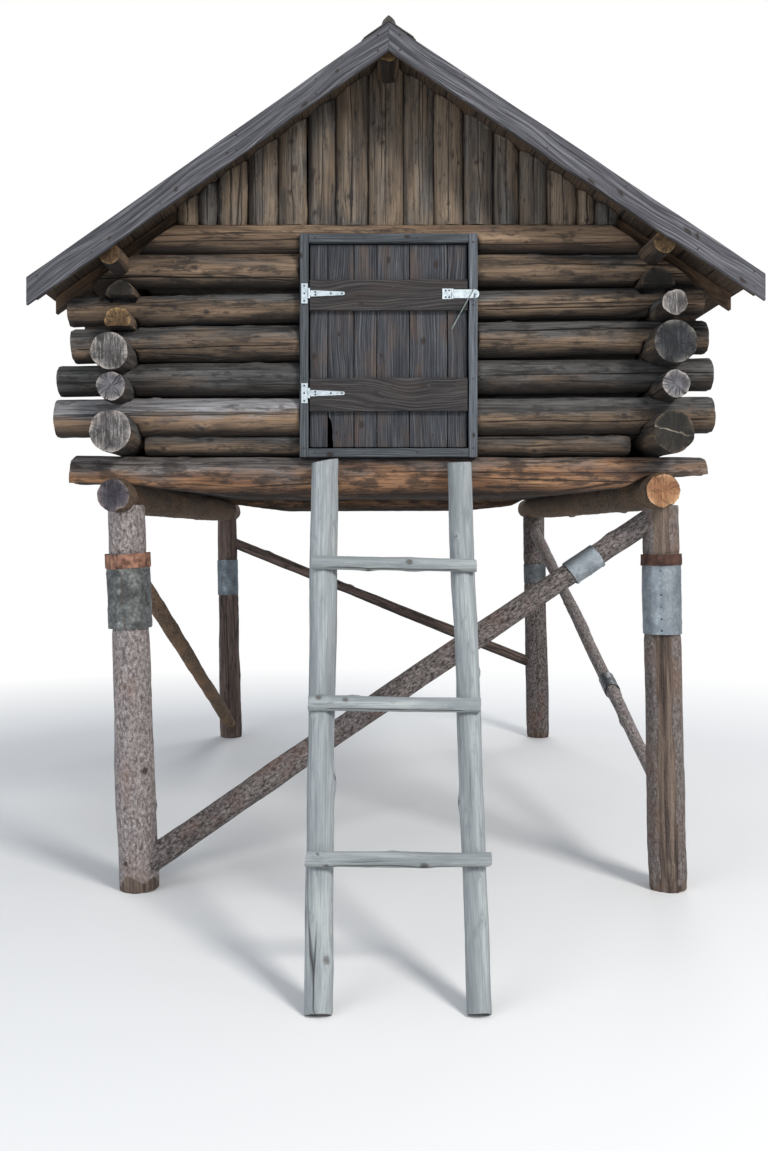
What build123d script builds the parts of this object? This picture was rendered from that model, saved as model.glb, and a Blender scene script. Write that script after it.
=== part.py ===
from build123d import *

import os
from math import acos, asin, atan2, cos, hypot, sin, tan

# A raised log cache: a small notched log store on four posts, with a ladder.
# Millimetres. +X to the right and +Y to the back as the front is faced, +Z up from the ground.
# The origin is on the ground, in the middle of the whole object.

# Plan of the posts and reach of the roof and ladder
POST_SPACING_Y = 3700
LADDER_REACH = 1320
ROOF_OVERHANG = 360
EAVE_REACH = 1544

# Height of the sill logs' axes above the ground. Heights below that are given as above the
# sills are measured from it, so the whole store keeps its place on them.
SILL_HEIGHT = 1845

# Fits and clearances
FIT = 0.3
SCRIBE_SHARE = 0.5
DOOR_CLEARANCE = 5.0

# Ladder stiles: foot x, top x, top above the sills, foot radius, top radius
LADDER_STILES = {
    "left": (-286, -305, 74, 47, 61),
    "right": (246, 285, 61, 43.5, 53),
}
STILE_BURIED_SHARE = 0.05
# Rungs: height on the stile as a share of its length, left end x, right end x
LADDER_RUNGS = {
    "top": (0.751, -344, 323),
    "middle": (0.480, -345, 308),
    "bottom": (0.222, -342, 310),
}
RUNG_RADIUS = 29.0
RUNG_TAPER = 2.0
RUNG_LET_IN = 14.0

# Posts: base x, top x, base radius, top radius
POST_DROP = 125
POSTS = {
    "front_left": (-1140, -1202, 90, 82),
    "front_right": (1230, 1199, 86, 80),
    "back_left": (-1156, -1190, 84, 74),
    "back_right": (1238, 1205, 86, 82),
}

# Braces: low post, share of its height, high post, share of its height, low and high radius
BRACES = {
    "front": ("front_left", 0.0552, "front_right", 0.9826, 60, 49),
    "back": ("back_right", 0.3238, "back_left", 0.8895, 42, 38),
    "left": ("back_left", 0.0523, "front_left", 0.8576, 47, 41),
    "right": ("front_right", 0.2297, "back_right", 0.9360, 31, 42),
}

# Bearers: front x, back x, axis above the sills, front radius, back radius
BEARER_FRONT_END = 200
BEARER_BACK_END = 300
BEARERS = {
    "left": (-1216, -1190, -85, 78, 80),
    "right": (1160, 1202, -65, 80, 78),
}

# Sill logs across the bearers, and their hewn undersides: each corner's distance from the
# end and its rise
SILL_ENDS = (-1435, 1390)
SILL_RADII = (96, 92)
HEWN_CORNERS = {
    "left": ((780, 0), (310, 60), (0, 70)),
    "right": ((840, 0), (370, 50), (275, 100), (0, 108)),
}

# Floor of split poles, flat side up, its top given above the sills
FLOOR_RISE = 96
FLOOR_POLE_COUNT = 19
FLOOR_POLE_GAP = 4
FLOOR_FLAT_ABOVE_CENTRE = 14
FLOOR_HALF_LENGTH = 1285
FLOOR_END_PLAY = 14

# Front and back wall logs from the bottom: axis above the sills at the left and the right end,
# left end, right end, left and right radius
CROSS_LOGS = (
    (265, 281, -1507, 1424, 83, 81),
    (432, 462, -1495, 1418, 73, 74),
    (587, 631, -1435, 1398, 77, 76),
    (741, 791, -1452, 1382, 65, 66),
    (928, 928, -1447, 1400, 76, 70),
)
FILLER_ENDS = (-1110, 1057)
FILLER_DEPTH = 90
TOP_LOG_RISE = 1076
TOP_LOG_RADIUS = 78
TOP_LOG_TAPER = 2
TOP_LOG_FLAT_RISE = 44

# Side wall logs from the floor: x, axis above the sills, front radius, back radius, end before
# the front posts, and how far below the axis a split log's flat underside lies
SIDE_LOGS = {
    "left": (
        (-1225, 191.3, 95, 88, 225, None),
        (-1225, 385, 65, 70, 215, None),
        (-1225, 535, 84, 78, 235, None),
        (-1208, 681, 62, 85, 150, 24.5),
        (-1205, 800, 66, 78, 110, 0),
    ),
    "right": (
        (1197, 189.3, 93, 90, 235, None),
        (1208, 394, 62, 78, 225, None),
        (1204, 575, 95, 84, 235, None),
        (1200, 742, 58, 66, 245, None),
        (1162, 851, 76, 74, 110, 6),
    ),
}
# Eave plates: x, axis above the sills, front radius, back radius
PLATES = {
    "left": (-1215, 942, 48, 52),
    "right": (1145, 991, 50, 52),
}
PLATE_END = 285
PLATE_SHARE = 0.6
SIDE_LOG_BACK_END = 210

# Roof: its ridge above the sills, and how deep under each slope the plate's axis lies
RIDGE_X = -30
RIDGE_RISE = 1889
PLATE_DEPTH = {"left": 91.6, "right": 94.8}
DECK_THICKNESS = 25
RAFTER_DEPTH = 64
RAFTER_THICKNESS = 38
RAFTER_SETBACK = 29
RAFTER_HEAD = 32
RAFTER_BAYS = 7
DECK_SETBACK = 9
BARGE_WIDTH = 98
BARGE_THICKNESS = 25
RIDGE_POLE_RADIUS = 50
RIDGE_POLE_END = 290
CAP_WING = 120
CAP_SHEET = 3
CAP_ROLL_HALF_WIDTH = 30
CAP_ROLL_HEIGHT = 27

# Gable slabs: the joints between them at the front, and their form
SLAB_JOINTS = (
    -963, -870, -790, -652, -514, -385, -259, -114, 45,
    179, 312, 445, 561, 685, 818, 898, 1005,
)
SLAB_GAP = 4
SLAB_BULGE = 52
SLAB_EDGE = 12
SLAB_BACK = 10

# Door casing, its bottom given above the sills
CASING_LEFT = -417
CASING_RIGHT = 369
CASING_RISE = 86.6
CASING_HEIGHT = 987
CASING_PLANK = 40
CASING_FACE = 100
CASING_DEPTH = 180

# Door: joints between its boards from left to right, and its two rails above the casing's foot
BOARD_JOINTS = (-292, -177, -75, 69, 237)
BOARD_GAP = 2
BOARD_THICKNESS = 25
RAIL_THICKNESS = 25
TOP_RAIL = (645.4, 784.4)
BOTTOM_RAIL = (200.4, 350.4)
SPLIT_HEIGHT = 142
SPLIT_HALF_WIDTH = 13

# T-hinges, their heights above the casing's foot
HINGE_X = -374.5
HINGE_RISES = (720.4, 280.9)
HINGE_KNUCKLE = 5.0
KNUCKLE_GAP = 1.0
HINGE_PIN = 2.5
HINGE_BORE_PLAY = 0.1
HINGE_SHEET = 2.5
HINGE_PLATE_WIDTH = 28
HINGE_PLATE_HEIGHT = 88
HINGE_BARREL = 44
STRAP_LENGTH = 150
STRAP_ROOT = 28
STRAP_TIP = 15
STRAP_KNUCKLE = 15

# Hasp on the top rail, its middle above the casing's foot
HASP_X = 257.5
HASP_RISE = 718.4
HASP_KNUCKLE = 4.0
HASP_PIN = 2.0
HASP_SHEET = 2.5
HASP_PLATE_WIDTH = 40
HASP_PLATE_HEIGHT = 46
HASP_LEAF_TIP = 375
HASP_LEAF_HEIGHT = 38
HASP_LEAF_KNUCKLE = 16
HASP_BARREL = 44
LEAF_GAP = 1.3
STAPLE_X = 356
STAPLE_DROP = 14
STAPLE_LEG = 9
STAPLE_BEND = 7.2
STAPLE_WIRE = 2.0
STAPLE_REACH = 17
SLOT_WIDTH = 10
SLOT_HEIGHT = 28
SLOT_DROP = 12
ROD_RADIUS = 2.5
# Ends of the rod through the staple: x, and height above the hasp's middle
ROD_TOP = (352, 24)
ROD_BOTTOM = (254, -155)

# Metal collars: sheet thickness, and shares of the post's height or of the brace's length
COLLAR_SHEET = 1.5
POST_COLLARS = {
    "front_left": (0.682, 0.8733),
    "front_right": (0.6663, 0.8721),
    "back_left": (0.6436, 0.8012),
    "back_right": (0.6977, 0.7831),
}
COLLAR_PLAY = 0.4
BRACE_COLLAR_LENGTH = 150
FRONT_COLLAR_PLACE = 0.853
SIDE_COLLAR_PLACE = 0.30

# Places worked out from the driving sizes
SIDES = {"left": -1, "right": 1}
FOOT = (Align.CENTER, Align.CENTER, Align.MIN)
POST_TOP = SILL_HEIGHT - POST_DROP
FLOOR_TOP = SILL_HEIGHT + FLOOR_RISE
TOP_LOG_HEIGHT = SILL_HEIGHT + TOP_LOG_RISE
TOP_LOG_FLAT = TOP_LOG_HEIGHT + TOP_LOG_FLAT_RISE
RIDGE_TOP = SILL_HEIGHT + RIDGE_RISE
CASING_BOTTOM = SILL_HEIGHT + CASING_RISE
CASING_TOP = CASING_BOTTOM + CASING_HEIGHT
HASP_Z = CASING_BOTTOM + HASP_RISE
STAPLE_Z = HASP_Z - STAPLE_DROP


def roof_slope(plate_x, plate_rise, depth):
    """The slope from the ridge that passes over a plate's axis at a depth square to it."""
    reach = abs(plate_x - RIDGE_X)
    drop = RIDGE_RISE - plate_rise
    return atan2(drop, reach) - asin(depth / hypot(reach, drop))


ROOF_SLOPE = {
    name: roof_slope(x, rise, PLATE_DEPTH[name]) for name, (x, rise, *_) in PLATES.items()
}


def stile_lean(top_rise, foot_radius, top_radius, sill_radius):
    """The lean of a stile whose foot is in reach and whose back rests on the sill log."""
    share = SILL_HEIGHT / (SILL_HEIGHT + top_rise)
    radius = foot_radius + (top_radius - foot_radius) * share
    clear = sill_radius + radius + FIT
    return acos(clear / hypot(LADDER_REACH, SILL_HEIGHT)) - atan2(SILL_HEIGHT, LADDER_REACH)


LEFT_LEAN = stile_lean(*LADDER_STILES["left"][2:], sum(SILL_RADII) / 2)
FRONT_REACH = LADDER_REACH + LADDER_STILES["left"][3] / cos(LEFT_LEAN)
FRONT_Y = (FRONT_REACH - ROOF_OVERHANG - POST_SPACING_Y) / 2
BACK_Y = FRONT_Y + POST_SPACING_Y
WALL_Y = {"front": FRONT_Y, "back": BACK_Y}


# Shared shapes
class Pole:
    """A tapered round pole, known by its two end centres and end radii."""

    def __init__(self, start, end, start_radius, end_radius, flat=None, seam=None):
        self.start = Vector(*start)
        self.end = Vector(*end)
        self.radii = (start_radius, end_radius)
        self.flat = flat
        self.seam = seam

    def place(self, share):
        return self.start + (self.end - self.start) * share

    def radius(self, share):
        return self.radii[0] + (self.radii[1] - self.radii[0]) * share

    def share_at_x(self, x):
        return (x - self.start.X) / (self.end.X - self.start.X)

    def share_at_y(self, y):
        return (y - self.start.Y) / (self.end.Y - self.start.Y)

    def draw(self, grow=0.0, first=0.0, last=1.0, mode=Mode.ADD):
        """Adds the pole, or the stretch of it between two shares, to the part in hand."""
        low = self.place(first)
        run = self.place(last) - low
        foot_radius = self.radius(first) + grow
        head_radius = self.radius(last) + grow
        with Locations(Plane(origin=low, x_dir=self.seam, z_dir=run)):
            if abs(foot_radius - head_radius) < 0.01:
                Cylinder(foot_radius, run.length, align=FOOT, mode=mode)
            else:
                Cone(foot_radius, head_radius, run.length, align=FOOT, mode=mode)


def grown(pole, gap=FIT, first=0.0, last=1.0):
    """A pole with a gap all round, to cut its bed out of what it meets."""
    with BuildPart() as bed:
        pole.draw(grow=gap, first=first, last=last)
    return bed.part


def cross_share(log, other):
    """Where a level log is crossed by another at right angles, as a share of its length."""
    runs_across = abs(log.end.X - log.start.X) > abs(log.end.Y - log.start.Y)
    if runs_across:
        return log.share_at_x(other.start.X)
    return log.share_at_y(other.start.Y)


def top_at(log, other):
    """The top of a level log where another crosses it."""
    share = cross_share(log, other)
    return log.place(share).Z + log.radius(share)


def bottom_at(log, other):
    """The underside of a level log where another crosses it."""
    if log.flat:
        return log.flat
    share = cross_share(log, other)
    return log.place(share).Z - log.radius(share)


def seat_height(lower, upper):
    """The height at which two crossing logs bear on each other, in their lap notches."""
    share = PLATE_SHARE if upper in plates.values() else SCRIBE_SHARE
    top = top_at(lower, upper)
    return top - share * (top - bottom_at(upper, lower))


def lap_cutter(log, height, keep):
    """The part of a log, with its scribing gap, that lies above or below a seat."""
    with BuildPart() as cutter:
        log.draw(grow=FIT)
        if log.flat:
            split(bisect_by=Plane.XY.offset(log.flat - FIT), keep=Keep.TOP)
        split(bisect_by=Plane.XY.offset(height), keep=keep)
    return cutter.part


def notched(log, below, above, trims=()):
    """A log with its lap notches over the logs below it and under the logs above it."""
    cutters = [
        lap_cutter(lower, seat_height(lower, log) + FIT / 2, Keep.BOTTOM)
        for lower in below
    ]
    cutters += [
        lap_cutter(upper, seat_height(log, upper) - FIT / 2, Keep.TOP)
        for upper in above
    ]
    with BuildPart() as piece:
        log.draw()
        if log.flat:
            split(bisect_by=Plane.XY.offset(log.flat), keep=Keep.TOP)
        add(cutters, mode=Mode.SUBTRACT)
        if trims:
            add(trims, mode=Mode.SUBTRACT)
    return piece.part


def roof_line(name, x, depth=0.0):
    """The height of a roof slope at x, at a depth square to its top."""
    slope = ROOF_SLOPE[name]
    return RIDGE_TOP - abs(x - RIDGE_X) * tan(slope) - depth / cos(slope)


def slope_strip(name, near, far, top, bottom):
    """The outline of a layer of one roof slope between two x and two depths."""
    return [
        (near, roof_line(name, near, top)),
        (far, roof_line(name, far, top)),
        (far, roof_line(name, far, bottom)),
        (near, roof_line(name, near, bottom)),
    ]


def cross_plane(y):
    """An upright plane across the object, drawn in x and z and extruded to the back."""
    return Plane(origin=(0, y, 0), x_dir=(1, 0, 0), z_dir=(0, -1, 0))


def prism(outline, low_y, high_y):
    """An outline in x and z, carried from one y to another."""
    with BuildPart() as block:
        with BuildSketch(cross_plane(high_y)):
            with BuildLine():
                Polyline(*outline, close=True)
            make_face()
        extrude(amount=high_y - low_y)
    return block.part


def above_roof(depth):
    """All that lies above the roof slopes at a depth, to trim what meets the roof."""
    sky = RIDGE_TOP + EAVE_REACH
    wide = 2 * EAVE_REACH
    halves = []
    for name, side in SIDES.items():
        far = side * wide
        outline = [
            (RIDGE_X, roof_line(name, RIDGE_X, depth)),
            (far, roof_line(name, far, depth)),
            (far, sky),
            (RIDGE_X, sky),
        ]
        halves.append(prism(outline, FRONT_Y - ROOF_OVERHANG, BACK_Y + ROOF_OVERHANG))
    return halves


# Poles and logs as lines and radii
posts = {
    name: Pole(
        (base_x, WALL_Y[name.split("_")[0]], 0),
        (top_x, WALL_Y[name.split("_")[0]], POST_TOP),
        base_radius,
        top_radius,
    )
    for name, (base_x, top_x, base_radius, top_radius) in POSTS.items()
}
bearers = {
    name: Pole(
        (front_x, FRONT_Y - BEARER_FRONT_END, SILL_HEIGHT + rise),
        (back_x, BACK_Y + BEARER_BACK_END, SILL_HEIGHT + rise),
        front_radius,
        back_radius,
    )
    for name, (front_x, back_x, rise, front_radius, back_radius) in BEARERS.items()
}
sills = {
    name: Pole((SILL_ENDS[0], y, SILL_HEIGHT), (SILL_ENDS[1], y, SILL_HEIGHT), *SILL_RADII)
    for name, y in WALL_Y.items()
}
cross_logs = {
    name: [
        Pole(
            (left, y, SILL_HEIGHT + left_rise),
            (right, y, SILL_HEIGHT + right_rise),
            left_radius,
            right_radius,
        )
        for left_rise, right_rise, left, right, left_radius, right_radius in CROSS_LOGS
    ]
    for name, y in WALL_Y.items()
}
side_logs = {
    name: [
        Pole(
            (x, FRONT_Y - front_end, SILL_HEIGHT + rise),
            (x, BACK_Y + SIDE_LOG_BACK_END, SILL_HEIGHT + rise),
            front_radius,
            back_radius,
            None if drop is None else SILL_HEIGHT + rise - drop,
        )
        for x, rise, front_radius, back_radius, front_end, drop in rows
    ]
    for name, rows in SIDE_LOGS.items()
}
plates = {
    name: Pole(
        (x, FRONT_Y - PLATE_END, SILL_HEIGHT + rise),
        (x, BACK_Y + PLATE_END, SILL_HEIGHT + rise),
        front_radius,
        back_radius,
    )
    for name, (x, rise, front_radius, back_radius) in PLATES.items()
}
ridge_drop = max(RIDGE_POLE_RADIUS / cos(slope) for slope in ROOF_SLOPE.values())
ridge_height = min(roof_line(name, RIDGE_X, DECK_THICKNESS) for name in SIDES) - ridge_drop - FIT
ridge_pole = Pole(
    (RIDGE_X, FRONT_Y - RIDGE_POLE_END, ridge_height),
    (RIDGE_X, BACK_Y + RIDGE_POLE_END, ridge_height),
    RIDGE_POLE_RADIUS,
    RIDGE_POLE_RADIUS,
)

# A brace's ends lie on the centre lines of its two posts, and its seam faces sideways
braces = {
    name: Pole(
        posts[low].place(low_share),
        posts[high].place(high_share),
        low_radius,
        high_radius,
        seam=(1, 0, 0) if name in SIDES else None,
    )
    for name, (low, low_share, high, high_share, low_radius, high_radius) in BRACES.items()
}

pieces = {}

# Posts, with a cradle for the bearer on top
for name, post in posts.items():
    side_name = name.split("_")[1]
    with BuildPart() as post_piece:
        post.draw()
        add(grown(bearers[side_name]), mode=Mode.SUBTRACT)
        split(bisect_by=Plane.XY, keep=Keep.TOP)
    pieces[f"post_{name}"] = post_piece

# Braces, scribed to the posts at both ends
for name, brace in braces.items():
    low, _, high, *_ = BRACES[name]
    neighbours = [grown(posts[low]), grown(posts[high])]
    neighbours += [grown(bearer) for bearer in bearers.values()]
    with BuildPart() as brace_piece:
        brace.draw()
        add(neighbours, mode=Mode.SUBTRACT)
        split(bisect_by=Plane.XY, keep=Keep.TOP)
    pieces[f"brace_{name}"] = brace_piece


# Metal collars wrapped round the posts and two braces
def collar(pole, first, last):
    """A sheet sleeve round a stretch of a pole."""
    with BuildPart() as sleeve:
        pole.draw(grow=COLLAR_PLAY + COLLAR_SHEET, first=first, last=last)
        pole.draw(grow=COLLAR_PLAY, mode=Mode.SUBTRACT)
    return sleeve.part


collar_pieces = [
    collar(posts[name], low, high)
    for name, (low, high) in POST_COLLARS.items()
]
for name, place in {"front": FRONT_COLLAR_PLACE, "right": SIDE_COLLAR_PLACE}.items():
    brace = braces[name]
    half = BRACE_COLLAR_LENGTH / 2 / (brace.end - brace.start).length
    collar_pieces.append(collar(brace, place - half, place + half))
with BuildPart() as tin_collars:
    add(collar_pieces)
    add(grown(braces["left"]), mode=Mode.SUBTRACT)
pieces["tin_collars"] = tin_collars

# Bearers from front to back on the posts
for name, bearer in bearers.items():
    with BuildPart() as bearer_piece:
        bearer.draw()
    pieces[f"bearer_{name}"] = bearer_piece


# Sill logs, notched over the bearers, with hewn ends
def hewn_wood(name, y):
    """The wood hewn off the underside of one end of a sill log."""
    side = SIDES[name]
    radius = max(SILL_RADII)
    underside = SILL_HEIGHT - radius
    end = SILL_ENDS[0] if name == "left" else SILL_ENDS[1]
    corners = [(end - side * inwards, underside + rise) for inwards, rise in HEWN_CORNERS[name]]
    outer = end + side * radius
    below = underside - radius
    corners += [(outer, corners[-1][1]), (outer, below), (corners[0][0], below)]
    return prism(corners, y - 2 * radius, y + 2 * radius)


# The space that the door casing takes in the front wall, with its fitting gap
casing_outline = [
    (CASING_LEFT - FIT, CASING_BOTTOM - FIT),
    (CASING_RIGHT + FIT, CASING_BOTTOM - FIT),
    (CASING_RIGHT + FIT, CASING_TOP + FIT),
    (CASING_LEFT - FIT, CASING_TOP + FIT),
]
door_space = prism(casing_outline, FRONT_Y - CASING_DEPTH, FRONT_Y + CASING_DEPTH)
for name, sill in sills.items():
    wedges = [hewn_wood(end, sill.start.Y) for end in SIDES]
    beds = [grown(bearer) for bearer in bearers.values()]
    with BuildPart() as sill_piece:
        sill.draw()
        add(wedges + beds, mode=Mode.SUBTRACT)
        if name == "front":
            add(door_space, mode=Mode.SUBTRACT)
    pieces[f"sill_{name}"] = sill_piece

# Floor of split poles between the sill logs, bedded on the bearers
floor_start = FRONT_Y + max(SILL_RADII) + FLOOR_POLE_GAP
floor_pitch = (BACK_Y - max(SILL_RADII) - FLOOR_POLE_GAP - floor_start) / FLOOR_POLE_COUNT
floor_radius = (floor_pitch - FLOOR_POLE_GAP) / 2
bearer_beds = [grown(bearer) for bearer in bearers.values()]
with BuildPart() as floor_poles:
    for row in range(FLOOR_POLE_COUNT):
        y = floor_start + floor_pitch * (row + 0.5)
        shift = FLOOR_END_PLAY * sin(2.4 * row)
        centre = FLOOR_TOP - FLOOR_FLAT_ABOVE_CENTRE
        Pole(
            (shift - FLOOR_HALF_LENGTH, y, centre),
            (shift + FLOOR_HALF_LENGTH, y, centre),
            floor_radius,
            floor_radius,
        ).draw()
    split(bisect_by=Plane.XY.offset(FLOOR_TOP), keep=Keep.BOTTOM)
    add(bearer_beds, mode=Mode.SUBTRACT)
pieces["floor_poles"] = floor_poles

# Side walls: each log laps the front and back logs below and above it
for name, logs in side_logs.items():
    wall = []
    for course, log in enumerate(logs):
        below = [cross_logs[end][course - 1] for end in cross_logs] if course else []
        above = [cross_logs[end][course] for end in cross_logs]
        wall.append(notched(log, below, above))
    with BuildPart() as side_wall:
        add(wall)
    pieces[f"{name}_wall_logs"] = side_wall

# Eave plates, lapped with the uppermost full front and back logs
for name, plate in plates.items():
    with BuildPart() as plate_piece:
        add(notched(plate, [cross_logs[end][-1] for end in cross_logs], []))
    pieces[f"eave_plate_{name}"] = plate_piece


# Front and back walls
def cross_wall(name):
    """The full logs of the front or back wall, lapped at the corners and cut to the rafters."""
    trims = above_roof(DECK_THICKNESS + RAFTER_DEPTH + FIT)
    wall = []
    for course, log in enumerate(cross_logs[name]):
        below = [side_logs[side][course] for side in SIDES]
        uppers = {
            side: side_logs[side][course + 1] if course + 1 < len(side_logs[side]) else plates[side]
            for side in SIDES
        }
        wall.append(notched(log, below, list(uppers.values()), trims))
    return wall


def filler(name):
    """The thin log under the lowest full log, which ends short of both corners."""
    y = WALL_Y[name]
    radius = FILLER_DEPTH / 2 - FIT
    centre = FLOOR_TOP + FILLER_DEPTH / 2
    with BuildPart() as thin_log:
        Pole((FILLER_ENDS[0], y, centre), (FILLER_ENDS[1], y, centre), radius, radius).draw()
        add([grown(side_logs[side][0]) for side in SIDES], mode=Mode.SUBTRACT)
        add(grown(cross_logs[name][0]), mode=Mode.SUBTRACT)
    return thin_log.part


def top_log(name):
    """The log under the gable: flat on top for the slabs, its ends cut to the rafters."""
    trims = above_roof(DECK_THICKNESS + RAFTER_DEPTH + FIT)
    with BuildPart() as gable_log:
        Pole(
            (-EAVE_REACH, WALL_Y[name], TOP_LOG_HEIGHT),
            (EAVE_REACH, WALL_Y[name], TOP_LOG_HEIGHT),
            TOP_LOG_RADIUS,
            TOP_LOG_RADIUS - TOP_LOG_TAPER,
        ).draw()
        split(bisect_by=Plane.XY.offset(TOP_LOG_FLAT), keep=Keep.BOTTOM)
        add(trims, mode=Mode.SUBTRACT)
        add(grown(cross_logs[name][-1]), mode=Mode.SUBTRACT)
        add([grown(plate) for plate in plates.values()], mode=Mode.SUBTRACT)
    return gable_log.part


front_wall = cross_wall("front") + [filler("front")]
with BuildPart() as front_logs_left:
    add(front_wall)
    split(bisect_by=Plane.YZ.offset(CASING_LEFT - FIT), keep=Keep.BOTTOM)
pieces["front_logs_left"] = front_logs_left

with BuildPart() as front_logs_right:
    add(front_wall)
    split(bisect_by=Plane.YZ.offset(CASING_RIGHT + FIT), keep=Keep.TOP)
pieces["front_logs_right"] = front_logs_right

with BuildPart() as front_log_top:
    add(top_log("front"))
    add(door_space, mode=Mode.SUBTRACT)
pieces["front_log_top"] = front_log_top

with BuildPart() as back_wall_logs:
    add(cross_wall("back") + [filler("back")])
pieces["back_wall_logs"] = back_wall_logs

with BuildPart() as back_log_top:
    add(top_log("back"))
pieces["back_log_top"] = back_log_top


# Gable walls of upright half-round slabs, standing on the flat of the top log
def gable_slabs(y, outward, mirrored):
    """A row of slabs with round faces outward, cut to the roof and round the ridge pole."""
    joints = [RIDGE_X * 2 - x for x in reversed(SLAB_JOINTS)] if mirrored else SLAB_JOINTS
    back = y + outward * SLAB_BACK
    trims = above_roof(DECK_THICKNESS + FIT) + [grown(ridge_pole)]
    with BuildPart() as slabs:
        with BuildSketch(Plane.XY.offset(TOP_LOG_FLAT)):
            for left, right in zip(joints, joints[1:]):
                low = (left + SLAB_GAP / 2, back)
                high = (right - SLAB_GAP / 2, back)
                edge_low = (low[0], back + outward * SLAB_EDGE)
                edge_high = (high[0], back + outward * SLAB_EDGE)
                middle = ((left + right) / 2, back + outward * SLAB_BULGE)
                with BuildLine():
                    Polyline(edge_low, low, high, edge_high)
                    ThreePointArc(edge_low, middle, edge_high)
                make_face()
        extrude(amount=RIDGE_TOP - TOP_LOG_FLAT)
        add(trims, mode=Mode.SUBTRACT)
    return slabs


pieces["gable_slabs_front"] = gable_slabs(FRONT_Y, -1, False)
pieces["gable_slabs_back"] = gable_slabs(BACK_Y, 1, True)

# Ridge pole
with BuildPart() as ridge_piece:
    ridge_pole.draw()
pieces["ridge_pole"] = ridge_piece

# Rafters: one behind each barge board, one behind each gable, and the rest evenly between
first_rafter = FRONT_Y - SLAB_BACK
last_rafter = BACK_Y + SLAB_BACK - RAFTER_THICKNESS
rafter_fronts = [
    first_rafter + (last_rafter - first_rafter) * bay / RAFTER_BAYS
    for bay in range(RAFTER_BAYS + 1)
]
rafter_fronts.insert(0, FRONT_Y - ROOF_OVERHANG + BARGE_THICKNESS)
rafter_fronts.append(BACK_Y + ROOF_OVERHANG - BARGE_THICKNESS - RAFTER_THICKNESS)
ridge_bed = Pole(
    (RIDGE_X, FRONT_Y - ROOF_OVERHANG, ridge_height),
    (RIDGE_X, BACK_Y + ROOF_OVERHANG, ridge_height),
    RIDGE_POLE_RADIUS,
    RIDGE_POLE_RADIUS,
)
for name, side in SIDES.items():
    outline = slope_strip(
        name,
        RIDGE_X + side * RAFTER_HEAD,
        side * (EAVE_REACH - RAFTER_SETBACK),
        DECK_THICKNESS,
        DECK_THICKNESS + RAFTER_DEPTH,
    )
    strips = [prism(outline, y, y + RAFTER_THICKNESS) for y in rafter_fronts]
    with BuildPart() as rafters:
        add(strips)
        add([grown(ridge_bed), grown(plates[name])], mode=Mode.SUBTRACT)
    pieces[f"rafters_{name}"] = rafters

# Roof deck, one slope each side, and the barge boards that close its ends
for name, side in SIDES.items():
    ridge_end = RIDGE_X + side * FIT / 2
    deck_end = side * (EAVE_REACH - DECK_SETBACK)
    deck_outline = slope_strip(name, ridge_end, deck_end, 0, DECK_THICKNESS)
    barge_outline = slope_strip(name, ridge_end, side * EAVE_REACH, 0, BARGE_WIDTH)
    deck_front = FRONT_Y - ROOF_OVERHANG + BARGE_THICKNESS
    deck_back = BACK_Y + ROOF_OVERHANG - BARGE_THICKNESS
    with BuildPart() as deck:
        add(prism(deck_outline, deck_front, deck_back))
    pieces[f"roof_deck_{name}"] = deck
    with BuildPart() as front_barge:
        add(prism(barge_outline, deck_front - BARGE_THICKNESS, deck_front))
    pieces[f"barge_board_front_{name}"] = front_barge
    with BuildPart() as back_barge:
        add(prism(barge_outline, deck_back, deck_back + BARGE_THICKNESS))
    pieces[f"barge_board_back_{name}"] = back_barge

# Ridge cap: a sheet over the ridge with a bunched roll along its middle
with BuildPart() as ridge_cap:
    with BuildSketch(cross_plane(BACK_Y + ROOF_OVERHANG)):
        with BuildLine():
            left_low = (RIDGE_X - CAP_WING, roof_line("left", RIDGE_X - CAP_WING) + FIT)
            right_low = (RIDGE_X + CAP_WING, roof_line("right", RIDGE_X + CAP_WING) + FIT)
            left_top = (left_low[0], left_low[1] + CAP_SHEET)
            right_top = (right_low[0], right_low[1] + CAP_SHEET)
            left_roll = RIDGE_X - CAP_ROLL_HALF_WIDTH
            right_roll = RIDGE_X + CAP_ROLL_HALF_WIDTH
            roll_left = (left_roll, roof_line("left", left_roll) + FIT + CAP_SHEET)
            roll_right = (right_roll, roof_line("right", right_roll) + FIT + CAP_SHEET)
            Polyline(left_top, left_low, (RIDGE_X, RIDGE_TOP + FIT), right_low, right_top)
            Line(right_top, roll_right)
            ThreePointArc(roll_right, (RIDGE_X, RIDGE_TOP + CAP_ROLL_HEIGHT), roll_left)
            Line(roll_left, left_top)
        make_face()
    extrude(amount=BACK_Y - FRONT_Y + 2 * ROOF_OVERHANG)
pieces["ridge_cap"] = ridge_cap


# Door casing
def block(low, high):
    """A square block between two corners."""
    size = Vector(*high) - Vector(*low)
    with BuildPart() as squared:
        with Locations((Vector(*low) + Vector(*high)) / 2):
            Box(size.X, size.Y, size.Z)
    return squared


casing_front = FRONT_Y - CASING_FACE
casing_back = casing_front + CASING_DEPTH
inner_left = CASING_LEFT + CASING_PLANK
inner_right = CASING_RIGHT - CASING_PLANK
inner_bottom = CASING_BOTTOM + CASING_PLANK
inner_top = CASING_TOP - CASING_PLANK
pieces["casing_jamb_left"] = block(
    (CASING_LEFT, casing_front, CASING_BOTTOM), (inner_left, casing_back, CASING_TOP)
)
pieces["casing_jamb_right"] = block(
    (inner_right, casing_front, CASING_BOTTOM), (CASING_RIGHT, casing_back, CASING_TOP)
)
pieces["casing_head"] = block(
    (inner_left, casing_front, inner_top), (inner_right, casing_back, CASING_TOP)
)
pieces["casing_sill"] = block(
    (inner_left, casing_front, CASING_BOTTOM), (inner_right, casing_back, inner_bottom)
)

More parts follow.
